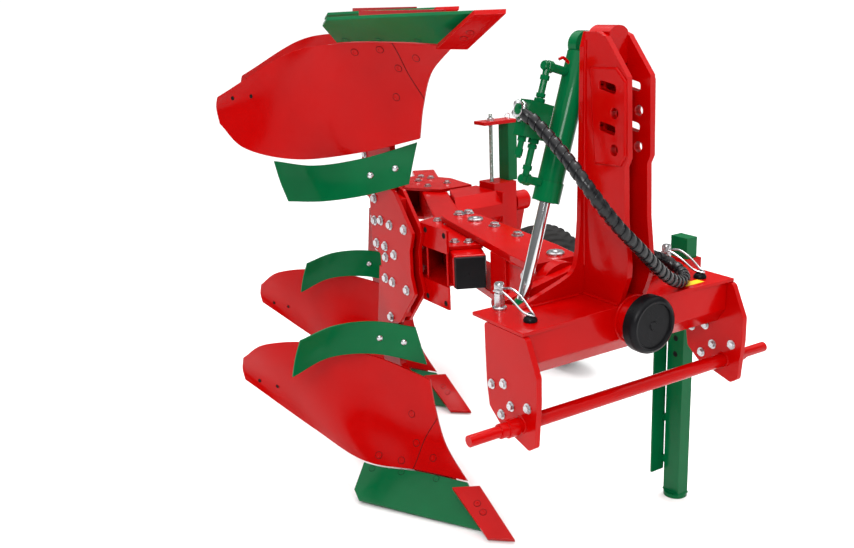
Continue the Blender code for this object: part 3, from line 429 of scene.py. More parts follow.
@dataclass
class Shape:
    """Points and faces gathered from several surfaces, to be made one mesh.

    Attributes:
        points: Arrays of points, one for each surface.
        faces: Arrays of quads, already counted on from the earlier points.
        count: How many points there are so far.
    """

    points: list[Array] = field(default_factory=list)
    faces: list[Array] = field(default_factory=list)
    count: int = 0

    def grid(self, points: Array, wrap_rows: bool = False, wrap_columns: bool = False) -> "Shape":
        """Adds a surface sampled on a grid of rows and columns.

        Args:
            points: (rows, columns, 3) points.
            wrap_rows: Whether the last row joins the first.
            wrap_columns: Whether the last column joins the first.

        Returns:
            This shape.
        """
        rows, columns = points.shape[:2]
        index = np.arange(rows * columns).reshape(rows, columns) + self.count
        if wrap_rows:
            index = np.vstack([index, index[:1]])
        if wrap_columns:
            index = np.hstack([index, index[:, :1]])
        quads = np.stack([index[:-1, :-1], index[1:, :-1], index[1:, 1:], index[:-1, 1:]], axis=-1)
        self.points.append(points.reshape(-1, 3))
        self.faces.append(quads.reshape(-1, 4))
        self.count += rows * columns
        return self

    def turned(self, profile: Array, centre: Array, axis: Array, steps: int = 32) -> "Shape":
        """Adds a turned surface: each (radius, along) point of the profile, carried round the axis.

        Args:
            profile: (n, 2) radii and places along the axis.
            centre: The axis's zero.
            axis: The axis's direction.
            steps: Steps round.

        Returns:
            This shape.
        """
        turn = np.linspace(0, 2 * np.pi, steps, endpoint=False)
        first, second, third = basis(axis)
        ring = np.cos(turn)[:, None] * first + np.sin(turn)[:, None] * second
        profile = np.asarray(profile, float)
        points = centre + profile[None, :, :1] * ring[:, None] + profile[None, :, 1:] * third
        return self.grid(points, wrap_rows=True)

    def tube(self, path: Array, radius: Array | float, steps: int = 12) -> "Shape":
        """Adds a round tube along a path, closed at its ends.

        Args:
            path: (n, 3) points.
            radius: One radius, or one for each point.
            steps: Steps round.

        Returns:
            This shape.
        """
        path = np.asarray(path, float)
        across, up = frames_along(path)
        turn = np.linspace(0, 2 * np.pi, steps, endpoint=False)
        radius = np.broadcast_to(radius, len(path))[:, None, None]
        ring = np.cos(turn)[None, :, None] * across[:, None] + np.sin(turn)[None, :, None] * up[:, None]
        points = path[:, None] + radius * ring
        ends = [np.repeat(path[i][None, None], steps, axis=1) for i in (0, -1)]
        return self.grid(np.concatenate([ends[0], points, ends[1]]), wrap_columns=True)

    def slab(self, grid: Array, thickness: float, back: Point) -> "Shape":
        """Adds a plate: a grid for its face, the same one moved back along its normals, and four rims.

        Args:
            grid: (rows, columns, 3) points of the face.
            thickness: How far back the other face is.
            back: The side that the back is on.

        Returns:
            This shape.
        """
        rear = grid + normals_of(grid, back) * thickness
        self.grid(grid).grid(rear)
        for edge in (0, -1):
            self.grid(np.stack([grid[edge], rear[edge]]))
            self.grid(np.stack([grid[:, edge], rear[:, edge]]))
        return self

    def prism(self, outline: Array, depth: Array) -> "Shape":
        """Adds a straight bar on a convex outline: two rings of points, each closed to its own middle.

        Args:
            outline: (n, 3) points of the first ring.
            depth: The way from the first ring to the second.

        Returns:
            This shape.
        """
        outline = np.asarray(outline, float)
        rings = [outline, outline + depth]
        ends = [np.repeat(ring.mean(axis=0)[None], len(outline), axis=0) for ring in rings]
        return self.grid(np.stack([ends[0], *rings, ends[1]]), wrap_columns=True)

    def block(self, low: Array, high: Array) -> "Shape":
        """Adds a box between two corners.

        Args:
            low: The lowest corner.
            high: The highest corner.

        Returns:
            This shape.
        """
        low, high = np.asarray(low, float), np.asarray(high, float)
        corners = np.array([(low[0], low[1]), (high[0], low[1]), (high[0], high[1]), (low[0], high[1])])
        return self.prism(np.column_stack([corners, np.full(4, low[2])]), Z_AXIS * (high - low)[2])

    def hex_bolt(self, seat: Array, axis: Array, size: float = 0.012) -> "Shape":
        """Adds a chamfered six-sided head on a washer, both turned from profiles.

        Args:
            seat: Where it sits.
            axis: The way that it stands out.
            size: The width that all its other sizes are shares of.

        Returns:
            This shape.
        """
        washer, top = 0.22 * size, 0.95 * size
        self.turned([(0, 0), (1.5 * size, 0), (1.5 * size, washer), (0, washer)], seat, axis, 20)
        head = [(0, washer), (1.1 * size, washer), (1.1 * size, 0.88 * top), (1.0 * size, top), (0, top)]
        return self.turned(head, seat, axis, 6)

    def dome(self, seat: Array, axis: Array, radius: float, height: float) -> "Shape":
        """Adds a round head: a quarter ellipse turned round its axis.

        Args:
            seat: Where it sits.
            axis: The way that it stands out.
            radius: Its radius at the seat.
            height: How far it stands out.

        Returns:
            This shape.
        """
        turn = np.linspace(0, np.pi / 2, 7)
        profile = np.column_stack([radius * np.cos(turn), height * np.sin(turn)])
        return self.turned(np.vstack([(0, 0), profile]), seat, axis, 20)

    def countersunk(self, seat: Array, axis: Array, radius: float) -> "Shape":
        """Adds a nearly flush head with a shallow round dish in it.

        Args:
            seat: Where it sits.
            axis: The way that it faces.
            radius: Its radius.

        Returns:
            This shape.
        """
        rise = HEAD_RISE
        profile = [(0, 0), (radius, 0), (radius, 0.5 * rise), (0.92 * radius, rise), (0.45 * radius, rise)]
        return self.turned(profile + [(0.32 * radius, 0.2 * rise), (0, 0.2 * rise)], seat, axis, 24)

    def ring(self, centre: Array, axis: Array, radius: float, wire: float, steps: int = 40) -> "Shape":
        """Adds a round wire bent to a full circle round an axis: a circle turned round it.

        Args:
            centre: The circle's middle.
            axis: The direction that it goes round.
            radius: The circle's radius.
            wire: The wire's own radius.
            steps: Steps round.

        Returns:
            This shape.
        """
        turn = np.linspace(0, 2 * np.pi, 9)[:-1]
        profile = np.column_stack([radius + wire * np.cos(turn), wire * np.sin(turn)])
        return self.turned(np.vstack([profile, profile[:1]]), centre, axis, steps)

    def weld(self, points: Array, size: float = 0.0035) -> "Shape":
        """Adds a weld bead: a tube whose radius swells and shrinks with each ripple of the pass.

        The radius is the bead's size times 1 plus a share of the size of a sine of the distance.

        Args:
            points: (n, 3) corners of the seam.
            size: The bead's radius between its ripples.

        Returns:
            This shape.
        """
        points = np.asarray(points, float)
        walk = walked(points)
        even = np.linspace(0, walk[-1], max(12, int(walk[-1] / WELD_STATION)))
        ripple = 1 + WELD_SWELL * np.abs(np.sin(even / WELD_RIPPLE * np.pi))
        return self.tube(read_along(even, walk, points), size * ripple, 8)

    def placed(self, shift: Array, mirrored: bool) -> "Shape":
        """A copy of the shape, moved and if asked mirrored above the turnover axis.

        Args:
            shift: How far it is moved.
            mirrored: Whether it is mirrored.

        Returns:
            The copy.
        """
        flip = np.array((1.0, 1.0, -1.0 if mirrored else 1.0))
        move = shift + Z_AXIS * (2 * TURN_HEIGHT if mirrored else 0.0)
        return Shape([points * flip + move for points in self.points], list(self.faces), self.count)

    def make(
        self,
        name: str,
        finish: Finish,
        body: Body,
        replaces: Iterable[str] = (),
        crease: float = 35.0,
    ) -> bpy.types.Object:
        """Makes the gathered surfaces one object that rides on a body.

        Args:
            name: The piece's name.
            finish: Its finish.
            body: The body it rides on.
            replaces: CAD nodes that it stands for.
            crease: Edges sharper than this many degrees stay sharp.

        Returns:
            The object.
        """
        mesh = bpy.data.meshes.new(name)
        points, faces = np.concatenate(self.points), np.concatenate(self.faces)
        mesh.from_pydata(points.tolist(), [], faces.tolist())
        tidy_mesh(mesh)
        return piece(name, mesh, finish, body, replaces, crease)


def frames_along(path: Array) -> tuple[Array, Array]:
    """Two unit vectors across a path at each station, carried along it without twist.

    Each station's across vector is the one before it with its part along the path taken out.

    Args:
        path: (n, 3) points.

    Returns:
        The across and up vectors, (n, 3) each.
    """
    along = unit(np.gradient(path, axis=0))
    across = np.empty_like(along)
    carried = np.eye(3)[int(np.argmin(np.abs(along[0])))]
    for station, direction in enumerate(along):
        carried = unit(carried - direction * (carried @ direction))
        across[station] = carried
    return across, np.cross(along, across)


def spline(points: Array, t: Array) -> Array:
    """A smooth curve through points (Catmull-Rom), read at t from 0 to 1.

    Args:
        points: (n, 3) points that the curve passes.
        t: Where to read it.

    Returns:
        (len(t), 3) points.
    """
    points = np.asarray(points, float)
    padded = np.vstack([2 * points[0] - points[1], points, 2 * points[-1] - points[-2]])
    place = np.clip(np.asarray(t, float), 0, 1) * (len(points) - 1)
    index = np.minimum(place.astype(int), len(points) - 2)
    t = (place - index)[:, None]
    a, b, c, d = (padded[index + step] for step in range(4))
    return 0.5 * (2 * b + (c - a) * t + (2 * a - 5 * b + 4 * c - d) * t**2 + (3 * b - a - 3 * c + d) * t**3)


def walked(points: Array) -> Array:
    """How far along a line each of its points is, from 0 at the first."""
    return np.concatenate([[0], np.cumsum(np.linalg.norm(np.diff(points, axis=0), axis=1))])


def read_along(where: Array, walk: Array, values: Array) -> Array:
    """Reads (n, 3) values at distances along a line, straight between its points' own distances."""
    return np.column_stack([np.interp(where, walk, values[:, axis]) for axis in range(3)])


def even_path(points: Array, count: int) -> Array:
    """The smooth curve through points, sampled at even steps of its length.

    Args:
        points: (n, 3) points that the curve passes.
        count: How many points to give.

    Returns:
        (count, 3) points.
    """
    dense = spline(points, np.linspace(0, 1, 12 * len(points)))
    walk = walked(dense)
    return read_along(np.linspace(0, walk[-1], count), walk, dense)


def coons(lower: Array, upper: Array, first: Array, last: Array, columns: int, rows: int) -> Array:
    """The surface that fills four edges: lower and upper run along it, first and last up it.

    Both pairs of edges are blended straight across, and the blend of the corners is taken off once.

    Args:
        lower: Points along the first long edge.
        upper: Points along the edge across from it.
        first: Points up the edge at their start.
        last: Points up the edge at their end.
        columns: How many points the surface has along them.
        rows: How many it has up.

    Returns:
        (columns, rows, 3) points.
    """
    u, v = np.linspace(0, 1, columns), np.linspace(0, 1, rows)
    bottom, top = spline(lower, u)[:, None], spline(upper, u)[:, None]
    left, right = spline(first, v)[None], spline(last, v)[None]
    u, v = u[:, None, None], v[None, :, None]
    corners = (1 - v) * ((1 - u) * bottom[:1] + u * bottom[-1:]) + v * ((1 - u) * top[:1] + u * top[-1:])
    return (1 - v) * bottom + v * top + (1 - u) * left + u * right - corners


def read_grid(grid: Array, rows: Array, columns: Array) -> Array:
    """Reads a surface between its points, straight along both ways of its grid.

    Args:
        grid: (rows, columns, 3) points.
        rows: Where to read along the first way, counted in points.
        columns: The same along the second.

    Returns:
        (n, 3) points.
    """
    i = np.minimum(rows.astype(int), grid.shape[0] - 2)
    j = np.minimum(columns.astype(int), grid.shape[1] - 2)
    di, dj = (rows - i)[:, None], (columns - j)[:, None]
    near = (grid[i, j] * (1 - di) + grid[i + 1, j] * di) * (1 - dj)
    return near + (grid[i, j + 1] * (1 - di) + grid[i + 1, j + 1] * di) * dj


def normals_of(grid: Array, towards: Point) -> Array:
    """Unit normals of a grid of points, on the side that a direction points to."""
    normal = unit(np.cross(np.gradient(grid, axis=0), np.gradient(grid, axis=1)))
    return normal if (normal.mean(axis=(0, 1)) * np.array(towards)).sum() > 0 else -normal


def tidy_mesh(mesh: bpy.types.Mesh) -> None:
    """Merges doubles at seams and poles, drops flat slivers and turns the faces outward.

    Args:
        mesh: The mesh.
    """
    bm = bmesh.new()
    bm.from_mesh(mesh)
    bmesh.ops.remove_doubles(bm, verts=bm.verts, dist=MERGE_NEW)
    bmesh.ops.dissolve_degenerate(bm, dist=SLIVER, edges=bm.edges)
    bmesh.ops.recalc_face_normals(bm, faces=bm.faces)
    bm.to_mesh(mesh)
    bm.free()


def piece(
    name: str,
    mesh: bpy.types.Mesh,
    finish: Finish,
    body: Body,
    replaces: Iterable[str] = (),
    crease: float = 35.0,
) -> bpy.types.Object:
    """Puts a mesh in the scene, shaded, dressed and riding on a body.

    Args:
        name: The piece's name.
        mesh: Its mesh, with its place in its points.
        finish: Its finish.
        body: The body that it rides on.
        replaces: CAD nodes that it stands for.
        crease: Edges sharper than this many degrees stay sharp.

    Returns:
        The object.
    """
    mesh.shade_smooth()
    mesh.set_sharp_from_angle(angle=math.radians(crease))
    mesh.materials.clear()
    mesh.materials.append(PALETTE.get(finish))
    obj = bpy.data.objects.new(name, mesh)
    bpy.context.scene.collection.objects.link(obj)
    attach(obj, body.value)
    if replaces:
        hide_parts(*replaces)
    LOG.info("piece %s: %d points on %s", name, len(mesh.vertices), body.value)
    return obj


def bend_between(obj: bpy.types.Object) -> None:
    """Takes a piece off the body that it rode on, and leaves it where it is.

    Args:
        obj: The piece.
    """
    obj.parent = None
    obj.matrix_world.identity()
    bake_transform(obj)


def softened(node: str, finish: Finish, body: Body, width: float = 0.0015) -> bpy.types.Object:
    """A CAD node's own shape with its edges rounded as on cut and painted plate.

    Args:
        node: The CAD node.
        finish: Its finish.
        body: The body that it rides on.
        width: How far the rounding reaches from each edge.

    Returns:
        The object, which stands for the node.
    """
    mesh = frame["nodes"][node].data.copy()
    bm = bmesh.new()
    bm.from_mesh(mesh)
    bmesh.ops.remove_doubles(bm, verts=bm.verts, dist=MERGE_CAD)
    bmesh.ops.dissolve_limit(
        bm, angle_limit=FLAT_ANGLE, verts=bm.verts, edges=bm.edges, use_dissolve_boundaries=False
    )
    bm.to_mesh(mesh)
    bm.free()
    return rounded_off(piece(node + "_shape", mesh, finish, body, [node], 25.0), width)


def rounded_off(obj: bpy.types.Object, width: float) -> bpy.types.Object:
    """Rounds a piece's sharp edges with a narrow bevel.

    Args:
        obj: The piece.
        width: How far the bevel reaches from each edge.

    Returns:
        The piece.
    """
    bevel = obj.modifiers.new("Soft edges", "BEVEL")
    bevel.width = width
    bevel.segments = 2
    bevel.limit_method = "ANGLE"
    bevel.angle_limit = ROUNDED_ANGLE
    bevel.use_clamp_overlap = True
    bevel.harden_normals = True
    return obj


# ------------------------------------------------------------- stage and view


@dataclass(frozen=True)
class Studio:
    """The pale floor, the soft lights and the camera.

    Attributes:
        offset: The camera's place from the middle of the cross shaft.
        heading: Degrees from +Y towards +X.
        drop: Degrees that it looks down.
        roll: Degrees that it leans.
        lens: Focal length in millimetres on a 36 mm sensor.
        sky: The sky's brightness at the sine of each height above the horizon.
        strength: What the sky's brightness is multiplied by.
        floor_half: Half the floor's side.
        floor_grey: The floor's grey.
        floor_roughness: The floor's roughness.
        aim: The place on the plough that the lights face.
        lamps: For each light its name, place, side and power in watts.
    """

    offset: tuple[float, float, float] = (-1.5783, -1.6458, 0.9721)
    heading: float = 31.154
    drop: float = 16.245
    roll: float = -2.414
    lens: float = 40.397
    sky: Points = ((0.0, 0.48), (0.06, 0.45), (0.12, 0.06), (0.45, 0.10), (0.75, 0.9), (1.0, 1.0))
    strength: float = 2.2
    floor_half: float = 30.0
    floor_grey: float = 0.84
    floor_roughness: float = 0.9
    aim: Point = (0.1, 0.6, 0.7)
    lamps: tuple[tuple[str, Point, float, float], ...] = (
        ("key", (-3.4, -4.2, 3.6), 1.6, 190.0),
        ("fill", (3.2, -4.4, 1.8), 2.6, 20.0),
        ("top", (0.6, 0.4, 4.2), 1.8, 120.0),
    )

    def build_camera(self) -> None:
        """Places the camera: its look, right and up vectors come from its three angles."""
        yaw, pitch, roll = np.radians((self.heading, self.drop, self.roll))
        look = np.array(
            (math.sin(yaw) * math.cos(pitch), math.cos(yaw) * math.cos(pitch), -math.sin(pitch))
        )
        right = np.array((math.cos(yaw), -math.sin(yaw), 0.0))
        up = np.cross(right, look)
        right, up = (
            math.cos(roll) * right + math.sin(roll) * up,
            math.cos(roll) * up - math.sin(roll) * right,
        )
        place = middle("cross_shaft") + np.array(self.offset)
        data = bpy.data.cameras.new("camera")
        data.lens = self.lens
        data.sensor_width = 36.0
        camera = bpy.data.objects.new("camera", data)
        matrix = np.eye(4)
        matrix[:3, 0], matrix[:3, 1], matrix[:3, 2], matrix[:3, 3] = right, up, -look, place
        camera.matrix_world = Matrix(matrix.tolist())
        bpy.context.scene.collection.objects.link(camera)
        bpy.context.scene.camera = camera

    def build_floor(self) -> None:
        """A wide, pale, matt floor."""
        half = self.floor_half
        mesh = bpy.data.meshes.new("floor")
        corners = [(-half, -half, 0), (half, -half, 0), (half, half, 0), (-half, half, 0)]
        mesh.from_pydata(corners, [], [(0, 1, 2, 3)])
        floor = bpy.data.objects.new("floor", mesh)
        nodes = Nodes("pale_floor")
        nodes.shader.inputs["Base Color"].default_value = (*[self.floor_grey] * 3, 1.0)
        nodes.shader.inputs["Roughness"].default_value = self.floor_roughness
        nodes.shader.inputs["Specular IOR Level"].default_value = 0.0
        mesh.materials.append(nodes.material)
        bpy.context.scene.collection.objects.link(floor)

    def add_light(self, name: str, place: Point, aim: Point, size: float, power: float) -> None:
        """Adds a soft square light.

        Args:
            name: Its name.
            place: Where it hangs.
            aim: The point that it faces.
            size: Its side.
            power: Its power in watts.
        """
        data = bpy.data.lights.new(name, "AREA")
        data.energy = power
        data.size = size
        lamp = bpy.data.objects.new(name, data)
        lamp.location = place
        lamp.rotation_euler = (Vector(aim) - Vector(place)).to_track_quat("-Z", "Y").to_euler()
        bpy.context.scene.collection.objects.link(lamp)

    def build_lights(self) -> None:
        """A sky that is bright overhead and dim above a pale horizon, with a key, a fill and a top light."""
        world = bpy.data.worlds.new("sky")
        world.use_nodes = True
        tree = world.node_tree
        place = tree.nodes.new("ShaderNodeTexCoord")
        split = tree.nodes.new("ShaderNodeSeparateXYZ")
        ramp = tree.nodes.new("ShaderNodeValToRGB").color_ramp
        for position, value in self.sky[1:-1]:
            ramp.elements.new(position).color = (value, value, value, 1.0)
        for end in (0, -1):
            position, value = self.sky[end]
            ramp.elements[end].position = position
            ramp.elements[end].color = (value, value, value, 1.0)
        shade = tree.nodes["Color Ramp"]
        tree.links.new(place.outputs["Generated"], split.inputs[0])
        tree.links.new(split.outputs["Z"], shade.inputs[0])
        tree.links.new(shade.outputs["Color"], tree.nodes["Background"].inputs["Color"])
        tree.nodes["Background"].inputs["Strength"].default_value = self.strength
        bpy.context.scene.world = world
        aim = tuple(at(*self.aim))
        for name, place, size, power in self.lamps:
            self.add_light(name, place, aim, size, power)

    def build(self) -> None:
        """Sets the stage."""
        bpy.context.scene.view_settings.view_transform = "Standard"
        self.build_camera()
        self.build_floor()
        self.build_lights()
        LOG.info("studio set")


# ------------------------------------------------------------ sub-assemblies


BEAM_HEADING = math.radians(26.3)
BODY_SPACING = 0.897
BODY_STEP = BODY_SPACING * np.array((math.sin(BEAM_HEADING), math.cos(BEAM_HEADING), 0.0))
# A dark disc laid on a plate is painted shade standing in for a drilled hole: (radius, height) of its edge.
HOLE_SHADE_DISC = ((0, 0.0005), (0.0085, 0.0005), (0.009, 0), (0, 0))
SMOOTH_STEPS = 20
THIN_BEAD = 0.003


@dataclass(frozen=True)
class Plate:
    """One plate of a plough body.

    Attributes:
        grid: (columns, rows, 3) points of its face.
        thickness: How far back its other face is, or how far in front where it is below zero.
        back: The side that its back is on.
        finish: Its paint.
    """

    grid: Array
    thickness: float
    back: Point
    finish: Paint

    def on(self, place: Point) -> tuple[Array, Array]:
        """A place on the face, and the outward direction there.

        Args:
            place: Shares of its length and height.

        Returns:
            The point and the direction.
        """
        i, j = (int(round(share * (count - 1))) for share, count in zip(place, self.grid.shape))
        return self.grid[i, j], -normals_of(self.grid, self.back)[i, j]


@dataclass
class PloughBodies:
    """The curved plates of the four plough bodies, with their seam lines, bolts and the painted shade in
    their holes.

    The upper bodies mirror the lower ones above the turnover axis. Each moldboard fills four smooth edges:
    its shin, its lower edge along the share, its tail and its wing's top.

    Attributes:
        shin: Points up the cutting edge.
        lower_edge: Points along the share's seam to the tail.
        tail: Points up the tail.
        upper_edge: Points along the top.
        share_gap: The way from the moldboard's edge to the share's.
        share_reach: How much of the moldboard's lower edge the share takes.
        share_edge: The two ends of the share's cutting edge.
        share_corner: Where the middle of its outer end is, and from what share of its length it tapers.
        point_sides: Lower and upper ends of the point's inner and outer sides.
        trash_lower: Points along the trashboard's lower edge.
        trash_upper: Points along its upper edge.
        trash_middles: The middles of its two ends.
        thicknesses: Of the moldboard, share, point and trashboard.
        bolts: Places of the moldboard's bolts, as shares of its length and height.
        holes: Places of the wing's empty holes.
        share_bolts: Places of the share's bolts.
        trash_bolts: Places of the trashboard's bolts.
        point_bolts: Places of the point's bolts.
        hole: (radius, height) of the edge of a dark disc of painted shade in each of the wing's holes.
        hole_rim: Radius of the ring round each, and of its wire.
        trash_head: Radius and height of the trashboard's round heads.
        board_head: Radius of the moldboard's flush heads, and of the line round each.
        plate_head: The same on the share and the point.
        line_lift: How far the dark line round each flush head stands out.
        seam: How far along and up the moldboard the shin's seam ends and starts.
        seam_bow: The power that bows the seam.
        seam_wire: The seam's radius.
        edge: How far the plates' edges are rounded.
    """

    shin: Points = (
        (-0.135, 0.557, 0.098), (-0.135, 0.676, 0.177), (-0.135, 0.728, 0.277), (-0.135, 0.752, 0.366),
    )
    lower_edge: Points = (
        (-0.135, 0.557, 0.098), (-0.208, 0.719, 0.088), (-0.318, 0.883, 0.087),
        (-0.375, 1.129, 0.121), (-0.514, 1.380, 0.255),
    )
    tail: Points = ((-0.514, 1.380, 0.255), (-0.512, 1.403, 0.290), (-0.515, 1.376, 0.338))
    upper_edge: Points = (
        (-0.135, 0.752, 0.366), (-0.235, 0.928, 0.414), (-0.372, 1.105, 0.440),
        (-0.480, 1.260, 0.410), (-0.515, 1.376, 0.338),
    )
    share_gap: Point = (-0.001, -0.0025, -0.003)
    share_reach: float = 0.5
    share_edge: Points = ((-0.172, 0.405, 0.012), (-0.396, 0.783, 0.018))
    share_corner: tuple[Point, float] = ((-0.389, 0.823, 0.034), 0.8)
    point_sides: tuple[Points, Points] = (
        ((-0.129, 0.323, 0.003), (-0.123, 0.505, 0.094)),
        ((-0.188, 0.377, 0.003), (-0.192, 0.552, 0.090)),
    )
    trash_lower: Points = (
        (-0.102, 0.820, 0.387), (-0.235, 0.908, 0.428), (-0.380, 0.950, 0.438), (-0.514, 0.943, 0.407),
    )
    trash_upper: Points = (
        (-0.126, 0.840, 0.514), (-0.240, 0.902, 0.541), (-0.365, 0.930, 0.546), (-0.488, 0.921, 0.527),
    )
    trash_middles: Points = ((-0.112, 0.834, 0.450), (-0.503, 0.935, 0.467))
    thicknesses: tuple[float, float, float, float] = (0.008, 0.010, 0.014, 0.006)
    bolts: Points = ((0.14, 0.53), (0.18, 0.24), (0.13, 0.15), (0.41, 0.09), (0.315, 0.07))
    holes: Points = ((0.92, 0.36), (0.81, 0.43))
    share_bolts: Points = ((0.91, 0.12), (0.66, 0.12), (0.33, 0.12))
    trash_bolts: Points = ((0.29, 0.54), (0.12, 0.50))
    point_bolts: Points = ((0.66, 0.44), (0.48, 0.44))
    hole: Points = ((0, 0.0006), (0.0065, 0.0006), (0.0068, 0), (0, 0))
    hole_rim: tuple[float, float] = (0.0074, 0.0009)
    trash_head: tuple[float, float] = (0.0105, 0.006)
    board_head: tuple[float, float] = (0.0105, 0.0007)
    plate_head: tuple[float, float] = (0.0095, 0.0006)
    line_lift: float = 0.0002
    seam: tuple[float, float] = (0.28, 0.57)
    seam_bow: float = 1.15
    seam_wire: float = 0.0011
    edge: float = 0.0012

    def moldboard(self) -> Array:
        """Points on the moldboard's face, (columns, rows, 3)."""
        return coons(self.lower_edge, self.upper_edge, self.shin, self.tail, 97, 49)

    def share(self) -> Array:
        """Points on the share's face, from its seam down to its edge, with its outer corner cut off.

        The face runs straight from seam to edge. Near its outer end the middle rows are drawn to the corner.

        Returns:
            (49, 13, 3) points.
        """
        along = np.linspace(0, 1, 49)
        top = spline(self.lower_edge, along * self.share_reach) + np.array(self.share_gap)
        first, last = np.array(self.share_edge)
        low = first + (last - first) * along[:, None]
        down = np.linspace(0, 1, 13)[None, :, None]
        face = top[:, None] * (1 - down) + low[:, None] * down
        outer_middle, taper = self.share_corner
        corner = np.array(outer_middle) - face[-1, 6]
        near_end = np.clip((along - taper) / (1 - taper), 0, 1)[:, None, None]
        return face + near_end * (1 - np.abs(2 * down - 1)) * corner

    def point(self) -> Array:
        """Points on the chisel point's face, straight between its two sides.

        Returns:
            (25, 9, 3) points.
        """
        t, across = np.linspace(0, 1, 25)[:, None, None], np.linspace(0, 1, 9)[None, :, None]
        sides = [side[0] * (1 - t) + side[1] * t for side in np.array(self.point_sides)]
        return sides[0] * (1 - across) + sides[1] * across

    def trashboard(self) -> Array:
        """Points on the trashboard's face, which fills its two long edges and two ends."""
        ends = [(self.trash_lower[i], self.trash_middles[i], self.trash_upper[i]) for i in (0, -1)]
        return coons(self.trash_lower, self.trash_upper, *ends, 41, 13)

    def sink_bolts(
        self, plate: Plate, places: Points, head: tuple[float, float], to: tuple[Shape, Shape]
    ) -> None:
        """Sets flush bolts in a plate, with a dark line round each.

        Args:
            plate: The plate.
            places: Shares of its length and height.
            head: The heads' radius, and the line's, which is how far it lies outside the head.
            to: Take the heads and the lines.
        """
        heads, lines = to
        radius, line = head
        lift = max(0.0, -plate.thickness)
        for place in places:
            seat, out = plate.on(place)
            heads.countersunk(seat + out * lift, out, radius)
            lines.ring(seat + out * (lift + self.line_lift), out, radius + line, line)

    def fixings(self, plates: dict[str, Plate]) -> tuple[Shape, Shape, Shape, Shape]:
        """Builds one body's heads, seam, and dark discs of painted shade in its holes.

        Args:
            plates: The body's plates.

        Returns:
            The red, green, bright and dark pieces; the dark one holds the seam, the lines round flush heads
            and the painted shade in the holes.
        """
        red, green, bright, dark = Shape(), Shape(), Shape(), Shape()
        board = plates["moldboard"]
        self.sink_bolts(board, self.bolts, self.board_head, (red, dark))
        # Each of the wing's holes gets a dark disc of painted shade, with a red rim round it.
        for place in self.holes:
            seat, out = board.on(place)
            dark.turned(self.hole, seat, out, SMOOTH_STEPS)
            red.ring(seat, out, *self.hole_rim)
        self.sink_bolts(plates["share"], self.share_bolts, self.plate_head, (green, dark))
        for place in self.trash_bolts:
            bright.dome(*plates["trashboard"].on(place), *self.trash_head)
        self.sink_bolts(plates["point"], self.point_bolts, self.plate_head, (red, dark))
        t = np.linspace(0, 1, 40)
        along, up = self.seam
        columns, rows = board.grid.shape[:2]
        line = read_grid(board.grid, along * t**self.seam_bow * (columns - 1), up * (1 - t) * (rows - 1))
        dark.tube(line, self.seam_wire, 6)
        return red, green, bright, dark

    def build(self) -> None:
        """Builds each plate and its fixings once, and places them four times."""
        board, share, point, trash = self.thicknesses
        plates = {
            "moldboard": Plate(self.moldboard(), board, (1, 1, 0), RED),
            "share": Plate(self.share(), share, (0.3, 0.3, -1), GREEN),
            "point": Plate(self.point(), -point, (0, 0.4, -1), RED),
            "trashboard": Plate(self.trashboard(), trash, (0, 1, 0), GREEN),
        }
        shapes = {
            kind: Shape().slab(plate.grid, plate.thickness, plate.back) for kind, plate in plates.items()
        }
        names = ("bolts", "share_bolts", "trashboard_bolts", "seams")
        fixings = tuple(zip(names, self.fixings(plates), (RED, GREEN, ZINC, DARK)))
        for furrow, shift in (("front", ORIGIN), ("rear", ORIGIN + BODY_STEP)):
            for level, mirrored in (("lower", False), ("upper", True)):
                for kind, shape in shapes.items():
                    node, finish = f"{furrow}_{level}_{kind}", plates[kind].finish
                    plate = shape.placed(shift, mirrored).make(node + "_plate", finish, Body.FRAME, [node])
                    rounded_off(plate, self.edge)
                for name, shape, finish in fixings:
                    shape.placed(shift, mirrored).make(f"{furrow}_{level}_body_{name}", finish, Body.FRAME)


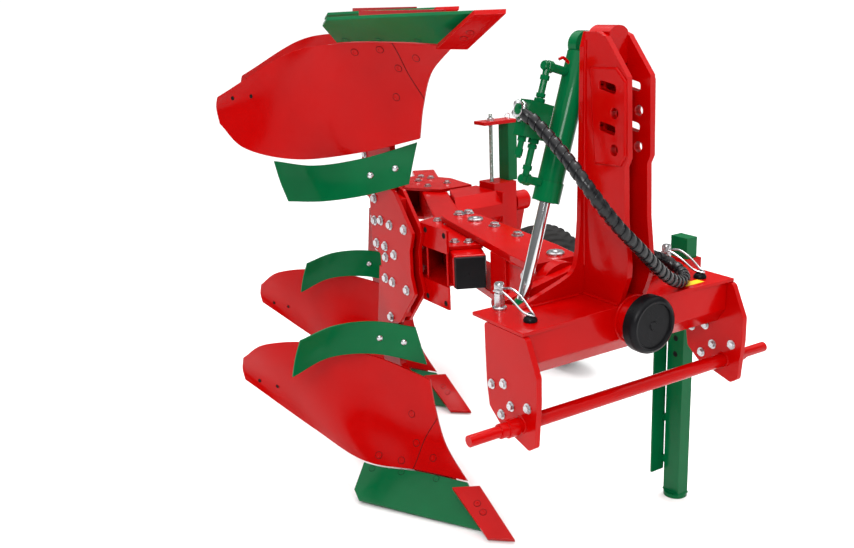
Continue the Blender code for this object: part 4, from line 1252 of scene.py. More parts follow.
@dataclass
class LegFixings:
    """The bolts and welds of the leg plates and of the brackets that tie them to the beam.

    Attributes:
        face: The leg plates' outer face.
        inner_face: Their inner face.
        bracket_top: The height of the brackets' upper plates.
        bracket_face: The front bracket's side face.
        plate_bolts: (along, up) places on the leg plates.
        front_bolts: (across, along) places on the front bracket.
        rear_bolts: The same on the rear bracket.
        sizes: Sizes of the leg plates' bolts, the inner nuts and the brackets' bolts.
        nuts: The inner nuts' place along, and their heights.
        stud: Radius and height of the domed end in each inner nut.
        edge_welds: Across, and from where to where along, each bracket's edge weld.
        hole_rows: Where along the front bracket's holes are, drawn as dark discs of painted shade, and how
            far above and below the axis.
        upright_welds: Where along the upright welds are, how far out, and their lowest and highest points.
    """

    face: float = -0.1703
    inner_face: float = -0.1257
    bracket_top: float = 0.8073
    bracket_face: float = -0.1254
    plate_bolts: Points = (
        (0.985, 0.917), (0.990, 0.844), (0.950, 0.851), (0.893, 0.846), (0.806, 0.847), (0.984, 0.771),
        (0.930, 0.771), (0.930, 0.735), (0.874, 0.754), (0.938, 0.664), (0.893, 0.661), (0.806, 0.655),
        (0.915, 0.540),
    )
    front_bolts: Points = ((0.061, 0.985), (0.062, 0.922), (0.082, 0.885), (-0.052, 0.710), (-0.022, 0.680))
    rear_bolts: Points = ((0.435, 1.700), (0.451, 1.650), (0.444, 1.516), (0.350, 1.510), (0.381, 1.634))
    sizes: tuple[float, float, float] = (0.0105, 0.0125, 0.010)
    nuts: tuple[float, Point] = (0.797, (0.790, 0.722))
    stud: tuple[float, float] = (0.007, 0.024)
    edge_welds: Points = ((-0.1165, 0.648, 0.785), (0.283, 1.575, 1.705))
    hole_rows: tuple[Point, float] = ((0.757, 0.655), 0.104)
    upright_welds: tuple[Point, float, Point] = ((0.655, 0.765), 0.010, (0.69, 0.80))

    def build_bolts(self) -> None:
        """Bolts through each plate, on both faces and both sides of the turnover axis."""
        bolts = Shape()
        plate_size, nut_size, bracket_size = self.sizes
        for shift in (ORIGIN, ORIGIN + BODY_STEP):
            for along, up in self.plate_bolts:
                bolts.hex_bolt(shift + (self.face, along, up), -X_AXIS, plate_size)
                bolts.hex_bolt(shift + (self.inner_face, along, up), X_AXIS, plate_size)
        along, heights = self.nuts
        for up in heights:
            bolts.hex_bolt(at(self.inner_face, along, up), X_AXIS, nut_size)
            bolts.dome(at(self.inner_face, along, up), X_AXIS, *self.stud)
        for x, y in (*self.front_bolts, *self.rear_bolts):
            bolts.hex_bolt(at(x, y, self.bracket_top), Z_AXIS, bracket_size)
            bolts.hex_bolt(at(x, y, 2 * TURN_HEIGHT - self.bracket_top), -Z_AXIS, bracket_size)
        bolts.make("leg_and_bracket_bolts", ZINC, Body.FRAME)

    def build(self) -> None:
        """Builds the bolts, then the brackets' weld beads, and dark discs of painted shade for their holes.
        """
        self.build_bolts()
        beads, holes = Shape(), Shape()
        rows, reach = self.hole_rows
        for side in (-1, 1):
            edge = TURN_HEIGHT + side * (self.bracket_top - TURN_HEIGHT)
            for x, first, last in self.edge_welds:
                beads.weld([at(x, first, edge), at(x, last, edge)])
            for y in rows:
                # Each hole is a dark disc of painted shade laid on the bracket's side face.
                seat = at(self.bracket_face, y, TURN_HEIGHT + side * reach)
                holes.turned(HOLE_SHADE_DISC, seat, -X_AXIS, SMOOTH_STEPS)
        places, out, (low, high) = self.upright_welds
        for along in places:
            beads.weld([at(self.bracket_face + out, along, up) for up in (low, high)], THIN_BEAD)
        beads.make("bracket_welds", RED, Body.FRAME)
        holes.make("bracket_hole_shade", DARK, Body.FRAME)


@dataclass
class SwingArm:
    """The bolts and round caps on the arm between the hub and the beam, and the hub's welds.

    Attributes:
        top: The height of the arm's upper plate.
        plate: The plate's thickness, with its bead's seat.
        bolts: (across, along) places of its six-sided bolts.
        bolt_size: Their size.
        caps: Places of its flat round caps.
        cap: (radius, height) round a cap's edge.
        weld: (across, along) corners of the weld under the plate's edge.
        hub_weld: Where along the hub's weld is, its radius and the bead's.
        side_bolt: (across, along, up from the axis) of the bolt on the arm's side.
        web: (across, along) corners of the web between the plates.
        web_half: Half the web's height.
        web_edge: How far its edges are rounded.
    """

    top: float = 0.8298
    plate: float = 0.022
    bolts: Points = ((0.112, 0.930), (0.145, 0.925), (0.105, 0.722), (0.086, 0.578))
    bolt_size: float = 0.0125
    caps: Points = ((0.107, 0.829), (0.040, 0.345))
    cap: Points = (
        (0, 0), (0.025, 0), (0.025, 0.005), (0.022, 0.0085), (0.009, 0.0085), (0.007, 0.0065), (0, 0.0065),
    )
    weld: Points = ((-0.061, 0.310), (-0.061, 0.410), (-0.042, 0.480))
    hub_weld: Point = (0.3005, 0.0775, 0.003)
    side_bolt: Point = (-0.0602, 0.345, 0.040)
    web: Points = ((-0.050, 0.455), (0.095, 0.455), (0.095, 0.549), (-0.036, 0.549))
    web_half: float = 0.064
    web_edge: float = 0.002

    def build(self) -> None:
        """Builds the fixings above, and the same ones below."""
        bolts, beads = Shape(), Shape()
        for side in (1, -1):
            height = TURN_HEIGHT + side * (self.top - TURN_HEIGHT)
            for x, y in self.bolts:
                bolts.hex_bolt(at(x, y, height), side * Z_AXIS, self.bolt_size)
            for x, y in self.caps:
                bolts.turned(self.cap, at(x, y, height), side * Z_AXIS, 32)
            edge = TURN_HEIGHT + side * (self.top - TURN_HEIGHT - self.plate)
            beads.weld([at(x, y, edge) for x, y in self.weld])
        along, radius, bead = self.hub_weld
        beads.ring(at(0, along, TURN_HEIGHT), Y_AXIS, radius, bead)
        x, y, up = self.side_bolt
        bolts.hex_bolt(at(x, y, TURN_HEIGHT + up), -X_AXIS, self.bolt_size)
        bolts.make("swing_arm_bolts", ZINC, Body.FRAME)
        outline = [at(x, y, TURN_HEIGHT - self.web_half) for x, y in self.web]
        web = Shape().prism(outline, Z_AXIS * 2 * self.web_half).make("swing_arm_web", RED, Body.FRAME)
        rounded_off(web, self.web_edge)
        beads.make("swing_arm_welds", RED, Body.FRAME)


@dataclass
class Headstock:
    """The welds, bolts, blank label and round cap of the fixed headstock and mast.

    Attributes:
        deck: The height of the top plate's face.
        plate_face: The hitch plates' outer face.
        plate: Their thickness.
        bolts: (along, up) places on each hitch plate.
        bolt_size: Their size.
        doubler: (along, up) corners of the raised plates on the mast.
        doubler_rise: How far the raised plates stand out.
        doubler_weld: How far out the bead round each lies, and its radius.
        cap_radius: The front cap's radius.
        cap_front: Its front face, and the face that it sits on.
        deck_welds: Corners of the beads on the top plate, as (across, along).
        bead_lift: How far their middle lines are above it.
        mast_weld: Its two ends up the back of each cheek, and the bead's radius.
        plate_weld: Corners of the bead inside each hitch plate.
        shaft_welds: How far out the rings round the cross shaft are.
        shaft_ring: Their radius and the bead's.
        hub_ring: Where along the ring round the housing is, its radius and the bead's.
        label: Two corners of the label, as (across, along), and its thickness.
    """

    deck: float = 0.785
    plate_face: float = 0.3455
    plate: float = 0.015
    bolts: Points = ((0.112, 0.622), (0.064, 0.638), (-0.028, 0.607), (0.074, 0.556), (0.036, 0.590))
    bolt_size: float = 0.0085
    doubler: Points = (
        (0.106, 1.345), (0.020, 1.348), (-0.009, 1.320), (-0.012, 1.152), (0.004, 1.130), (0.085, 1.127),
    )
    doubler_rise: float = 0.005
    doubler_weld: tuple[float, float] = (0.0440, 0.0040)
    cap_radius: float = 0.0722
    cap_front: tuple[float, float] = (-0.0790, -0.0434)
    deck_welds: tuple[Points, ...] = (
        ((0.0445, 0.004), (0.0445, 0.128)),
        ((0.246, 0.1275), (0.062, 0.1275)),
    )
    bead_lift: float = 0.0015
    mast_weld: tuple[Points, float] = (((0.044, 0.1285, 0.86), (0.044, 0.1285, 1.41)), 0.0025)
    plate_weld: Points = ((0.3300, 0.0, 0.706), (0.3300, 0.028, 0.662), (0.3300, 0.108, 0.662))
    shaft_welds: Point = (0.3305, 0.3460)
    shaft_ring: tuple[float, float] = (0.0195, 0.0028)
    hub_ring: Point = (-0.0045, 0.0590, 0.0035)
    label: tuple[Point, Point, float] = ((0.196, 0.012), (0.262, 0.036), 0.0004)

    def build_cap(self) -> None:
        """The black cap: a rounded rim round a sunken face, with a small raised boss."""
        front, back = self.cap_front
        r = self.cap_radius
        profile = np.array(
            [
                (0, front + 0.003), (0.010, front + 0.003), (0.012, front + 0.006),
                (r - 0.018, front + 0.006), (r - 0.016, front + 0.001), (r - 0.011, front),
                (r - 0.005, front + 0.003), (r - 0.001, front + 0.010), (r, front + 0.016),
                (r, back), (0, back),
            ]
        )
        shape = Shape().turned(profile, at(0, 0, TURN_HEIGHT), Y_AXIS, 64)
        shape.make("front_cap", PLASTIC, Body.HEADSTOCK, ["shaft_cap"])

    def build_doublers(self, beads: Shape) -> None:
        """The raised plates round the mast's holes: each cheek's own shape, clipped and set out.

        Args:
            beads: Takes the weld round each plate.
        """
        corners = [(y, z) for y, z in self.doubler]
        centre = np.mean(corners, axis=0)
        for name, side in (("left", -1), ("right", 1)):
            bm = bmesh.new()
            bm.from_mesh(frame["nodes"][f"mast_{name}_plate"].data)
            bmesh.ops.remove_doubles(bm, verts=bm.verts, dist=MERGE_CAD)
            for first, last in zip(corners, corners[1:] + corners[:1]):
                start = at(0, *first)
                out = np.cross(at(0, *last) - start, X_AXIS)
                out = out if out @ (at(0, *centre) - start) < 0 else -out
                whole = bm.verts[:] + bm.edges[:] + bm.faces[:]
                made = bmesh.ops.bisect_plane(
                    bm, geom=whole, plane_co=Vector(start), plane_no=Vector(out), clear_outer=True
                )
                rim = [part for part in made["geom_cut"] if isinstance(part, bmesh.types.BMEdge)]
                bmesh.ops.edgeloop_fill(bm, edges=rim)
            bmesh.ops.translate(bm, vec=(side * self.doubler_rise, 0, 0), verts=bm.verts)
            bmesh.ops.dissolve_limit(bm, angle_limit=FLAT_ANGLE, verts=bm.verts, edges=bm.edges)
            mesh = bpy.data.meshes.new("doubler")
            bm.to_mesh(mesh)
            bm.free()
            rounded_off(piece(f"{name}_mast_doubler", mesh, RED, Body.HEADSTOCK, crease=20.0), 0.0015)
            out, bead = self.doubler_weld
            beads.weld([at(side * out, y, z) for y, z in [*corners, corners[0]]], bead)

    def build(self) -> None:
        """Builds the cap, the doublers, the bolts, the weld beads and the label."""
        self.build_cap()
        bolts, beads, label = Shape(), Shape(), Shape()
        (mast_line, mast_bead), seat = self.mast_weld, self.deck + self.bead_lift
        for side in (-1, 1):
            for y, z in self.bolts:
                bolts.hex_bolt(at(side * self.plate_face, y, z), side * X_AXIS, self.bolt_size)
                inner = at(side * (self.plate_face - self.plate), y, z)
                bolts.hex_bolt(inner, -side * X_AXIS, self.bolt_size)
            for line in self.deck_welds:
                beads.weld([at(side * x, y, seat) for x, y in line])
            beads.weld([at(side * x, y, z) for x, y, z in mast_line], mast_bead)
            beads.weld([at(side * x, y, z) for x, y, z in self.plate_weld])
            for out in self.shaft_welds:
                beads.ring(at(side * out, 0, CROSS_SHAFT_HEIGHT), X_AXIS, *self.shaft_ring)
        along, radius, bead = self.hub_ring
        beads.ring(at(0, along, TURN_HEIGHT), Y_AXIS, radius, bead)
        self.build_doublers(beads)
        first, last, thickness = self.label
        label.block(at(*first, self.deck), at(*last, self.deck + thickness))
        bolts.make("hitch_plate_bolts", ZINC, Body.HEADSTOCK)
        beads.make("headstock_welds", RED, Body.HEADSTOCK)
        label.make("blank_label", YELLOW, Body.HEADSTOCK)


@dataclass
class LockingPins:
    """The two linkage pins stowed on the top plate, each with a two-strand wire loop to a rubber knob.

    Attributes:
        deck: The face that they stand on.
        across: How far each is from the middle.
        along: How far behind the cross shaft.
        pin: (radius, height) round a pin's edge.
        strand: Points of one strand from the pin, as (across, along, up).
        bend: The middle of the loop's bend.
        wire: The wire's radius.
        knob: (radius, height) round a knob's edge.
        knob_along: How far in front of its pin a knob is.
    """

    deck: float = 0.7853
    across: float = 0.280
    along: float = 0.166
    pin: Points = (
        (0, 0), (0.018, 0), (0.018, 0.004), (0.0165, 0.006), (0.0125, 0.0065), (0.0125, 0.040),
        (0.0095, 0.042), (0.0095, 0.048), (0.0125, 0.050), (0.0125, 0.062), (0.0105, 0.066), (0, 0.066),
    )
    strand: Points = (
        (0.0135, 0.004, 0.047), (0.0155, -0.030, 0.054), (0.0150, -0.070, 0.042), (0.0110, -0.110, 0.021),
    )
    bend: Point = (0.0, -0.135, 0.0165)
    wire: float = 0.0028
    knob: Points = (
        (0, 0), (0.0165, 0), (0.0168, 0.005), (0.014, 0.010), (0.0095, 0.013), (0.0095, 0.019), (0, 0.0198),
    )
    knob_along: float = -0.122

    def build(self) -> None:
        """Builds each pin, its wires and its knob."""
        loop = [(-x, y, z) for x, y, z in self.strand] + [self.bend, *self.strand[::-1]]
        for name, side in (("left", -1), ("right", 1)):
            foot = at(side * self.across, self.along, self.deck)
            pin = Shape().turned(self.pin, foot, Z_AXIS, 32)
            pin.tube(even_path(foot + np.array(loop), 90), self.wire, 8)
            pin.make(f"{name}_stowed_pin", ZINC, Body.HEADSTOCK, [f"{name}_locking_pin"])
            shape = Shape().turned(self.knob, foot + (0, self.knob_along, 0), Z_AXIS, 28)
            shape.make(f"{name}_pin_knob", PLASTIC, Body.HEADSTOCK)


@dataclass
class TurnoverCylinder:
    """The pipe nuts, ferrules and rod of the turnover cylinder.

    Places on it are given down its axis from the mast pin, and out to its side.

    Attributes:
        top: The mast pin.
        crank: The crank pin.
        pipes: For each pipe, the block's end, the port and how far out it runs.
        plane: How far in front of the axis the pipes run.
        block_nuts: Step along the pipe, size and length of the nuts at its block's end.
        port_nuts: How far out from the pipe, size and length of the nuts at its port.
        elbow_nut: How far from the port, size and length of the nut on the pipe there.
        end_nuts: Down, out, size and length of the nuts at the block's end.
        ferrules: How far down the two hose ends on the block are.
        ferrule_nut: How far out their nuts sit, and those nuts' size and length.
        sleeve_foot: How far above its nut, and how far out, each ribbed sleeve starts.
        sleeve_span: The shares of the way to the hose's head that it runs between.
        sleeve_ribs: Radius between the ribs, the ribs' rise and how many there are.
        hose_head: Where both sleeves point, at the hose's start.
        lever: (down, out) points of the small lever on the barrel.
        lever_wire: The lever's radius.
        rod: The rod's radius, where it starts down the axis and how far short of the pin it ends.
        eye: (radius, along) round the rod's eye.
        neck: The eye's neck: its radius, and how far short of the pin it starts and ends.
        pin: (radius, along) of the pin through the eye.
        seal: (radius, down) round the wiper at the barrel's end.
    """

    top: Point = (0.0, 0.190, 1.396)
    crank: Point = (-0.204, 0.190, 0.745)
    pipes: Points = ((0.162, 0.074, 0.092), (0.249, 0.347, 0.082))
    plane: float = 0.002
    block_nuts: Points = ((0.0, 0.0135, 0.0105), (0.0125, 0.0115, 0.0105))
    port_nuts: Points = ((-0.016, 0.0145, 0.018), (0.004, 0.0125, 0.0085))
    elbow_nut: Point = (0.034, 0.0115, 0.012)
    end_nuts: Points = ((0.249, 0.118, 0.0105, 0.012), (0.278, 0.118, 0.0095, 0.018))
    ferrules: Point = (0.180, 0.206)
    ferrule_nut: Point = (0.131, 0.0125, 0.011)
    sleeve_foot: tuple[float, float] = (0.004, 0.154)
    sleeve_span: tuple[float, float] = (0.18, 0.62)
    sleeve_ribs: tuple[float, float, int] = (0.0103, 0.0007, 7)
    hose_head: Point = (-0.220, 0.158, 1.264)
    lever: Points = ((0.052, 0.030), (0.044, 0.050), (0.050, 0.062))
    lever_wire: float = 0.0038
    rod: Point = (0.015, 0.3205, 0.023)
    eye: Points = (
        (0.0128, -0.015), (0.0265, -0.015), (0.028, -0.0135), (0.028, 0.0135), (0.0265, 0.015),
        (0.0128, 0.015), (0.0128, -0.015),
    )
    neck: Point = (0.0195, 0.040, 0.020)
    pin: Points = ((0, -0.023), (0.011, -0.023), (0.0125, -0.021), (0.0125, 0.0400), (0, 0.0400))
    seal: Points = (
        (0.0155, 0.390), (0.0165, 0.3905), (0.0225, 0.3915), (0.0235, 0.3905), (0.0155, 0.3895),
        (0.0155, 0.390),
    )

    def __post_init__(self) -> None:
        """Works out the cylinder's directions."""
        self.start, self.end = at(*self.top), at(*self.crank)
        self.along = unit(self.end - self.start)
        self.side = np.array((self.along[2], 0.0, -self.along[0]))

    def place(self, down: float, out: float) -> Array:
        """A place down the axis and out to the side, in the pipes' plane."""
        return self.start + self.along * down + self.side * out - Y_AXIS * self.plane

    def nut(self, shape: Shape, centre: Array, axis: Array, size: float, length: float) -> None:
        """Adds a pipe nut: a six-sided prism with chamfered ends, turned from a profile.

        Args:
            shape: Takes the nut.
            centre: Where it starts.
            axis: The way that it runs.
            size: Half its width over corners.
            length: Its length.
        """
        c = 0.08 * size
        profile = [(0, 0), (size - c, 0), (size, c), (size, length - c), (size - c, length), (0, length)]
        shape.turned(profile, centre, axis, 6)

    def build_rod(self) -> None:
        """The chromed rod and the green eye at its end, with the steel pin through it."""
        reach = np.linalg.norm(self.end - self.start)
        radius, start, short = self.rod
        profile = [
            (0, start), (radius - 0.0002, start), (radius, start + 0.0015), (radius, reach - short),
            (0, reach - short),
        ]
        rod = Shape().turned(profile, self.start, self.along, 40)
        rod.make("chromed_rod", CHROME, Body.ROD, ["cylinder_rod"])
        shape = Shape().turned(self.eye, self.end, Y_AXIS, 40)
        radius, start, short = self.neck
        neck = [(0, reach - start), (radius, reach - start), (radius, reach - short), (0, reach - short)]
        shape.turned(neck, self.start, self.along, 32)
        shape.make("rod_eye", GREEN, Body.ROD)
        Shape().turned(self.pin, self.end, Y_AXIS, 32).make("rod_pin", STEEL, Body.ROD)

    def build_pipe_nuts(self, green: Shape) -> None:
        """The nuts at both ends of each pipe, and on the block's end.

        Args:
            green: Takes the nuts.
        """
        for block, port, out in self.pipes:
            towards = self.along * math.copysign(1, port - block)
            for step, size, length in self.block_nuts:
                self.nut(green, self.place(block, out) + towards * step, towards, size, length)
            for step, size, length in self.port_nuts:
                self.nut(green, self.place(port, out + step), self.side, size, length)
            step, size, length = self.elbow_nut
            self.nut(green, self.place(port, out) - towards * step, towards, size, length)
        for down, out, size, length in self.end_nuts:
            self.nut(green, self.place(down, out), self.along, size, length)

    def build_ferrules(self, bright: Shape) -> None:
        """The hose ends on the block: a nut and a ribbed sleeve each, a tube whose radius steps in and out.

        Args:
            bright: Takes them.
        """
        out, size, length = self.ferrule_nut
        for down in self.ferrules:
            self.nut(bright, self.place(down, out), self.side, size, length)
        head = at(*self.hose_head)
        rise, out = self.sleeve_foot
        first, last = self.sleeve_span
        radius, rib, count = self.sleeve_ribs
        walk = np.linspace(0, 1, 24)
        for down in self.ferrules:
            elbow = self.place(down - rise, out)
            run = head - elbow
            start, end = elbow + run * first, elbow + run * last
            ribs = radius + rib * (np.sin(walk * 2 * count * np.pi) > 0)
            bright.tube(start + (end - start) * walk[:, None], ribs, 16)

    def build(self) -> None:
        """Builds the rod, the fittings on the pipes and the seals at the barrel's end."""
        self.build_rod()
        bright, green = Shape(), Shape()
        self.build_pipe_nuts(green)
        self.build_ferrules(bright)
        lever = np.array([self.place(*spot) for spot in self.lever])
        Shape().tube(even_path(lever, 16), self.lever_wire, 12).make("barrel_lever", RED, Body.BARREL)
        bright.make("pipe_nuts_and_ferrules", ZINC, Body.BARREL)
        green.make("banjo_fittings", GREEN, Body.BARREL)
        wiper = Shape().turned(self.seal, self.start, self.along, 40)
        wiper.make("rod_wiper", PLASTIC, Body.BARREL)


@dataclass
class Hose:
    """The hydraulic hose in its spiral guard, from the cylinder down in front of the mast to its foot.

    Attributes:
        route: The points that it passes.
        radius: The hose's own radius.
        pitch: How far apart the guard's turns are.
        band: The guard's width and thickness.
        band_edge: How far its edges are rounded off.
        bend: Which points of the route its bend starts and ends at, when the barrel swings; not used.
    """

    route: Points = (
        (-0.216, 0.146, 1.255), (-0.203, 0.120, 1.236), (-0.194, 0.070, 1.198), (-0.189, 0.010, 1.152),
        (-0.185, -0.035, 1.112), (-0.156, -0.060, 1.058), (-0.110, -0.072, 1.000), (-0.050, -0.068, 0.946),
        (0.015, -0.052, 0.892), (0.080, -0.032, 0.845), (0.145, -0.008, 0.812), (0.205, 0.028, 0.803),
        (0.236, 0.075, 0.808), (0.222, 0.112, 0.828), (0.178, 0.124, 0.848), (0.125, 0.112, 0.860),
    )
    radius: float = 0.0135
    pitch: float = 0.027
    band: tuple[float, float] = (0.0170, 0.0024)
    band_edge: float = 0.0006
    bend: tuple[int, int] = (0, 6)

    def build_guard(self, path: Array) -> bpy.types.Object:
        """Builds the guard: a flat band's section, carried round the hose as it goes along the path.

        Args:
            path: (n, 3) points of the hose's middle.

        Returns:
            The guard.
        """
        walk = walked(path)
        length = float(walk[-1])
        across, up = frames_along(path)
        width, thick = self.band
        middle_walk = np.linspace(width / 2, length - width / 2, int(length / self.pitch * 28))
        turn = 2 * np.pi * middle_walk / self.pitch
        low, high = self.radius - self.band_edge / 2, self.radius + thick
        half = ((-0.5, low), (-0.5, high - self.band_edge), (-0.4, high))
        corners = (*half, *[(-share, radius) for share, radius in half[::-1]])
        rows = []
        for share, radius in corners:
            where = middle_walk + share * width
            spot, first, second = (read_along(where, walk, values) for values in (path, across, up))
            out = np.cos(turn)[:, None] * unit(first) + np.sin(turn)[:, None] * unit(second)
            rows.append(spot + radius * out)
        band = np.stack(rows, axis=1)
        ends = [np.repeat(band[i].mean(axis=0)[None], len(corners), axis=0)[None] for i in (0, -1)]
        guard = Shape().grid(np.concatenate([ends[0], band, ends[1]]), wrap_columns=True)
        return guard.make("spiral_guard", GUARD, Body.HEADSTOCK)

    def build(self) -> None:
        """Builds the hose as a tube, and its guard, and takes both off the body that they were made on."""
        path = np.array([at(*point) for point in even_path(np.array(self.route), 220)])
        hose = Shape().tube(path, self.radius, 16).make("hydraulic_hose", GUARD, Body.HEADSTOCK, ["hose"])
        wrap = self.build_guard(path)
        for part in (hose, wrap):
            bend_between(part)


@dataclass
class DepthWheel:
    """The depth wheel's treaded tyre, its hub's nuts, and the fittings of its arm and stop post.

    Attributes:
        centre: The wheel's middle.
        radius: The tyre's outer radius.
        bead: The tyre's inner radius.
        half: Half the tyre's width.
        lugs: How many lugs go round.
        depth: How deep the tread is.
        sweep: How much of a half turn the section's angle runs through.
        powers: What bends the section's round from side to side, and from bead to tread, into a box.
        tread_start: How far below the tread its grooves start, and over how much they reach full depth.
        slant: How far a groove turns from the middle to the side, as an angle of its wave.
        groove_edge: How steep a groove's sides are.
        middle_groove: The middle groove's half width, and its share of the depth.
        nut_circle: How many wheel nuts there are, their circle's radius and their size.
        hub_half: Half the rim's disc's thickness, where the nuts sit.
        pivot: The arm's pivot.
        collar: (radius, along) round the collar on the pivot.
        pivot_nut: How far along the pivot its nut sits, and its size.
        post_plate: Two corners of the stop post's top plate.
        screw: (across, along) of the stop screw.
        screw_reach: Its lowest and highest points, and how high its nut sits.
        screw_nut: The nut's size.
        thread: The screw's radius, and the thread's depth and pitch.
        handle: Middle of the screw's ring, its radius and its wire's.
    """

    centre: Point = (0.870, 1.430, 0.291)
    radius: float = 0.290
    bead: float = 0.1856
    half: float = 0.0748
    lugs: int = 44
    depth: float = 0.0055
    sweep: float = 0.9975
    powers: tuple[float, float] = (0.62, 0.42)
    tread_start: tuple[float, float] = (0.030, 0.018)
    slant: float = 5.6
    groove_edge: float = 9.0
    middle_groove: tuple[float, float] = (0.006, 0.8)
    nut_circle: tuple[int, float, float] = (5, 0.075, 0.0095)
    hub_half: float = 0.0095
    pivot: Point = (0.598, 1.300, TURN_HEIGHT)
    collar: Points = ((0.0212, 0.067), (0.034, 0.067), (0.034, 0.070), (0.0212, 0.070))
    pivot_nut: tuple[float, float] = (0.0752, 0.015)
    post_plate: Points = ((0.4555, 1.2655, 1.0535), (0.6065, 1.3345, 1.0664))
    screw: tuple[float, float] = (0.508, 1.300)
    screw_reach: Point = (0.836, 1.0895, 1.0664)
    screw_nut: float = 0.011
    thread: Point = (0.0070, 0.0006, 0.0025)
    handle: tuple[Point, float, float] = ((0.586, 1.300, 1.076), 0.011, 0.0014)

    def build_tyre(self) -> None:
        """The tyre: a rounded section carried round the axle, cut by slanting grooves across its tread.

        The section is a rounded box. Where it faces outward, its radius loses the tread's depth in slanting
        grooves whose pattern is a smoothed square wave of the angle and the distance from the middle.
        """
        turn = np.linspace(0, 2 * np.pi, 616, endpoint=False)[:, None]
        t = np.linspace(0, 1, 45)[None, :]
        swing = (t - 0.5) * self.sweep * np.pi
        across_power, up_power = self.powers
        across = self.half * np.sign(np.sin(swing)) * np.abs(np.sin(swing)) ** across_power
        section = np.abs(np.cos(swing)) ** up_power
        radius = self.bead + (self.radius - self.bead) * section
        start, over = self.tread_start
        tread = np.clip((radius - self.radius + start) / over, 0, 1)
        wave = np.sin(self.lugs * turn + self.slant * np.abs(across) / self.half + np.pi * (across > 0))
        groove = 1 / (1 + np.exp(self.groove_edge * wave))
        half_width, share = self.middle_groove
        centre_groove = np.exp(-((across / half_width) ** 2)) * share
        radius = radius - self.depth * tread * np.clip(groove + centre_groove, 0, 1)
        x = np.broadcast_to(across, radius.shape)
        points = np.stack([x, radius * np.cos(turn), radius * np.sin(turn)], axis=-1) + at(*self.centre)
        shape = Shape().grid(points, wrap_rows=True)
        bead = points[:, [0, -1]]
        shape.grid(bead, wrap_rows=True)
        shape.make("treaded_tyre", RUBBER, Body.WHEEL, ["wheel_tyre"], 50.0)

    def build(self) -> None:
        """Builds the tyre, the hub's nuts, the arm's washers and the stop post's plate and pin."""
        self.build_tyre()
        nuts, arm, plate, steel = Shape(), Shape(), Shape(), Shape()
        centre = at(*self.centre)
        count, circle, size = self.nut_circle
        for angle in np.radians(np.arange(count) * 360 / count + 18):
            radial = np.array((0, math.cos(angle), math.sin(angle)))
            for side in (-1, 1):
                seat = centre + radial * circle + X_AXIS * side * self.hub_half
                nuts.hex_bolt(seat, side * X_AXIS, size)
        nuts.make("wheel_nuts", ZINC, Body.WHEEL)
        pivot = at(*self.pivot)
        arm.turned(self.collar, pivot, X_AXIS, 32)
        along, size = self.pivot_nut
        arm.hex_bolt(pivot + X_AXIS * along, X_AXIS, size)
        arm.make("arm_pivot_nut", ZINC, Body.FRAME)
        plate.block(*[at(*corner) for corner in self.post_plate])
        rounded_off(plate.make("stop_post_plate", RED, Body.FRAME), 0.0015)
        screw, (low, high, nut_height) = at(*self.screw, 0), self.screw_reach
        radius, rise, pitch = self.thread
        walk = np.linspace(low, high, 260)
        thread = radius + rise * np.sin(walk / pitch * 2 * np.pi)
        steel.tube(screw + walk[:, None] * Z_AXIS, thread, 12)
        steel.hex_bolt(screw + Z_AXIS * nut_height, Z_AXIS, self.screw_nut)
        middle_of_ring, radius, wire = self.handle
        steel.ring(at(*middle_of_ring), Y_AXIS, radius, wire)
        steel.make("stop_screw", ZINC, Body.FRAME)


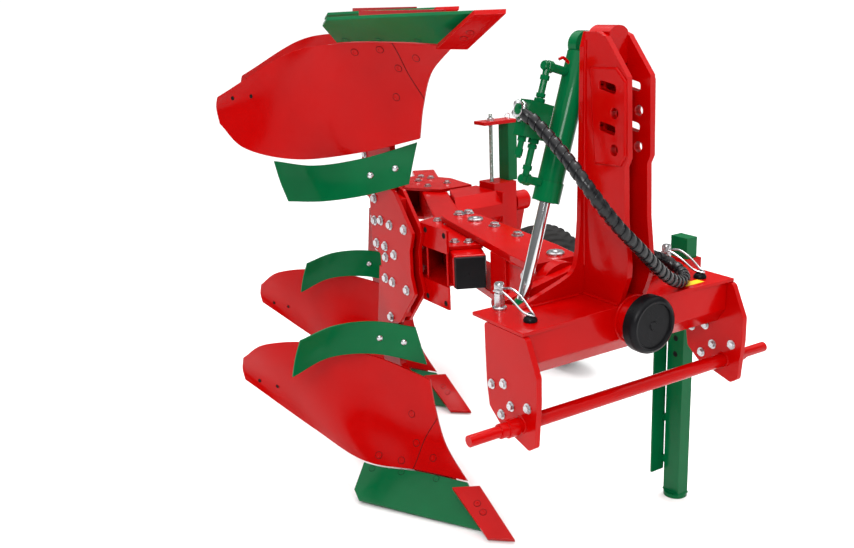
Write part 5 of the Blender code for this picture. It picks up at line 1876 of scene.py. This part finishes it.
@dataclass
class Stand:
    """The parking stand's strap, the painted shade in its holes and its foot's collar.

    Attributes:
        place: The stand's middle.
        half: Half its tube's width and depth.
        strap: Two corners of the strap, across and behind the leg's back, and their heights.
        spacer: Two corners of a spacer, the same way, with heights from its foot.
        spacers: The heights of the strap's two spacers.
        holes: The heights of the pin's holes, each drawn as a dark disc of painted shade.
        foot: The height of the foot's weld.
    """

    place: tuple[float, float] = (0.446, 0.260)
    half: tuple[float, float] = (0.020, 0.031)
    strap: Points = ((-0.057, 0.016, 0.070), (-0.006, 0.022, 0.490))
    spacer: Points = ((-0.019, -0.001, 0.0), (-0.007, 0.017, 0.020))
    spacers: Point = (0.100, 0.240)
    holes: Point = (0.42, 0.47, 0.52)
    foot: float = 0.0125

    def build(self) -> None:
        """Builds the strap behind the leg on two spacers, dark discs of painted shade for the pin's holes and
        the foot's weld.
        """
        x, y = self.place
        back = y + self.half[1]
        strap, holes, beads = Shape(), Shape(), Shape()
        strap.block(*[at(x + a, back + b, c) for a, b, c in self.strap])
        for z in self.spacers:
            strap.block(*[at(x + a, back + b, z + c) for a, b, c in self.spacer])
        rounded_off(strap.make("stand_strap", GREEN, Body.STAND), 0.001)
        # Each pin hole is a dark disc of painted shade on the tube's side.
        for z in self.holes:
            for side in (-1, 1):
                holes.turned(HOLE_SHADE_DISC, at(x + side * self.half[0], y, z), side * X_AXIS, SMOOTH_STEPS)
        holes.make("stand_hole_shade", DARK, Body.STAND)
        corners = ((-1, -1), (1, -1), (1, 1), (-1, 1), (-1, -1))
        beads.weld([at(x + a * self.half[0], y + b * self.half[1], self.foot) for a, b in corners], THIN_BEAD)
        beads.make("stand_foot_weld", GREEN, Body.STAND)


# How far the CAD nodes' edges are rounded: folded and cast pieces more than cut plate.
CUT_EDGE = 0.0015
EDGE_WIDTHS = {
    "main_beam": 0.008, "crossbeam": 0.004, "wheel_bracket": 0.005, "swing_arm": 0.004,
    "mast_left_plate": 0.003, "mast_right_plate": 0.003, "mast_back_plate": 0.003,
}


def dress_frame() -> None:
    """Gives each CAD node that still shows its rounded, painted shape."""
    by_slot = {finish.slot.value: finish for finish in (RED, GREEN, CHROME, ZINC, PLASTIC, GUARD, RUBBER)}
    slots = {row["node"]: row["material_slot"] for row in frame["record"]["subparts"]}
    bodies = frame["record"]["behaviour"]["bodies"]
    for body, nodes in bodies.items():
        for node in nodes:
            if not frame["nodes"][node].hide_render:
                softened(node, by_slot[slots[node]], Body(body), EDGE_WIDTHS.get(node, CUT_EDGE))


def main() -> None:
    """Builds the plough's looks in order."""
    logging.basicConfig(level=logging.INFO, format="%(message)s")
    Studio().build()
    assemblies = (
        PloughBodies, LegFixings, SwingArm, Headstock, LockingPins, TurnoverCylinder, Hose, DepthWheel, Stand,
    )
    for assembly in assemblies:
        assembly().build()
    softened("turnover_shaft", RED, Body.FRAME)
    dress_frame()


if __name__ == "__main__":
    main()
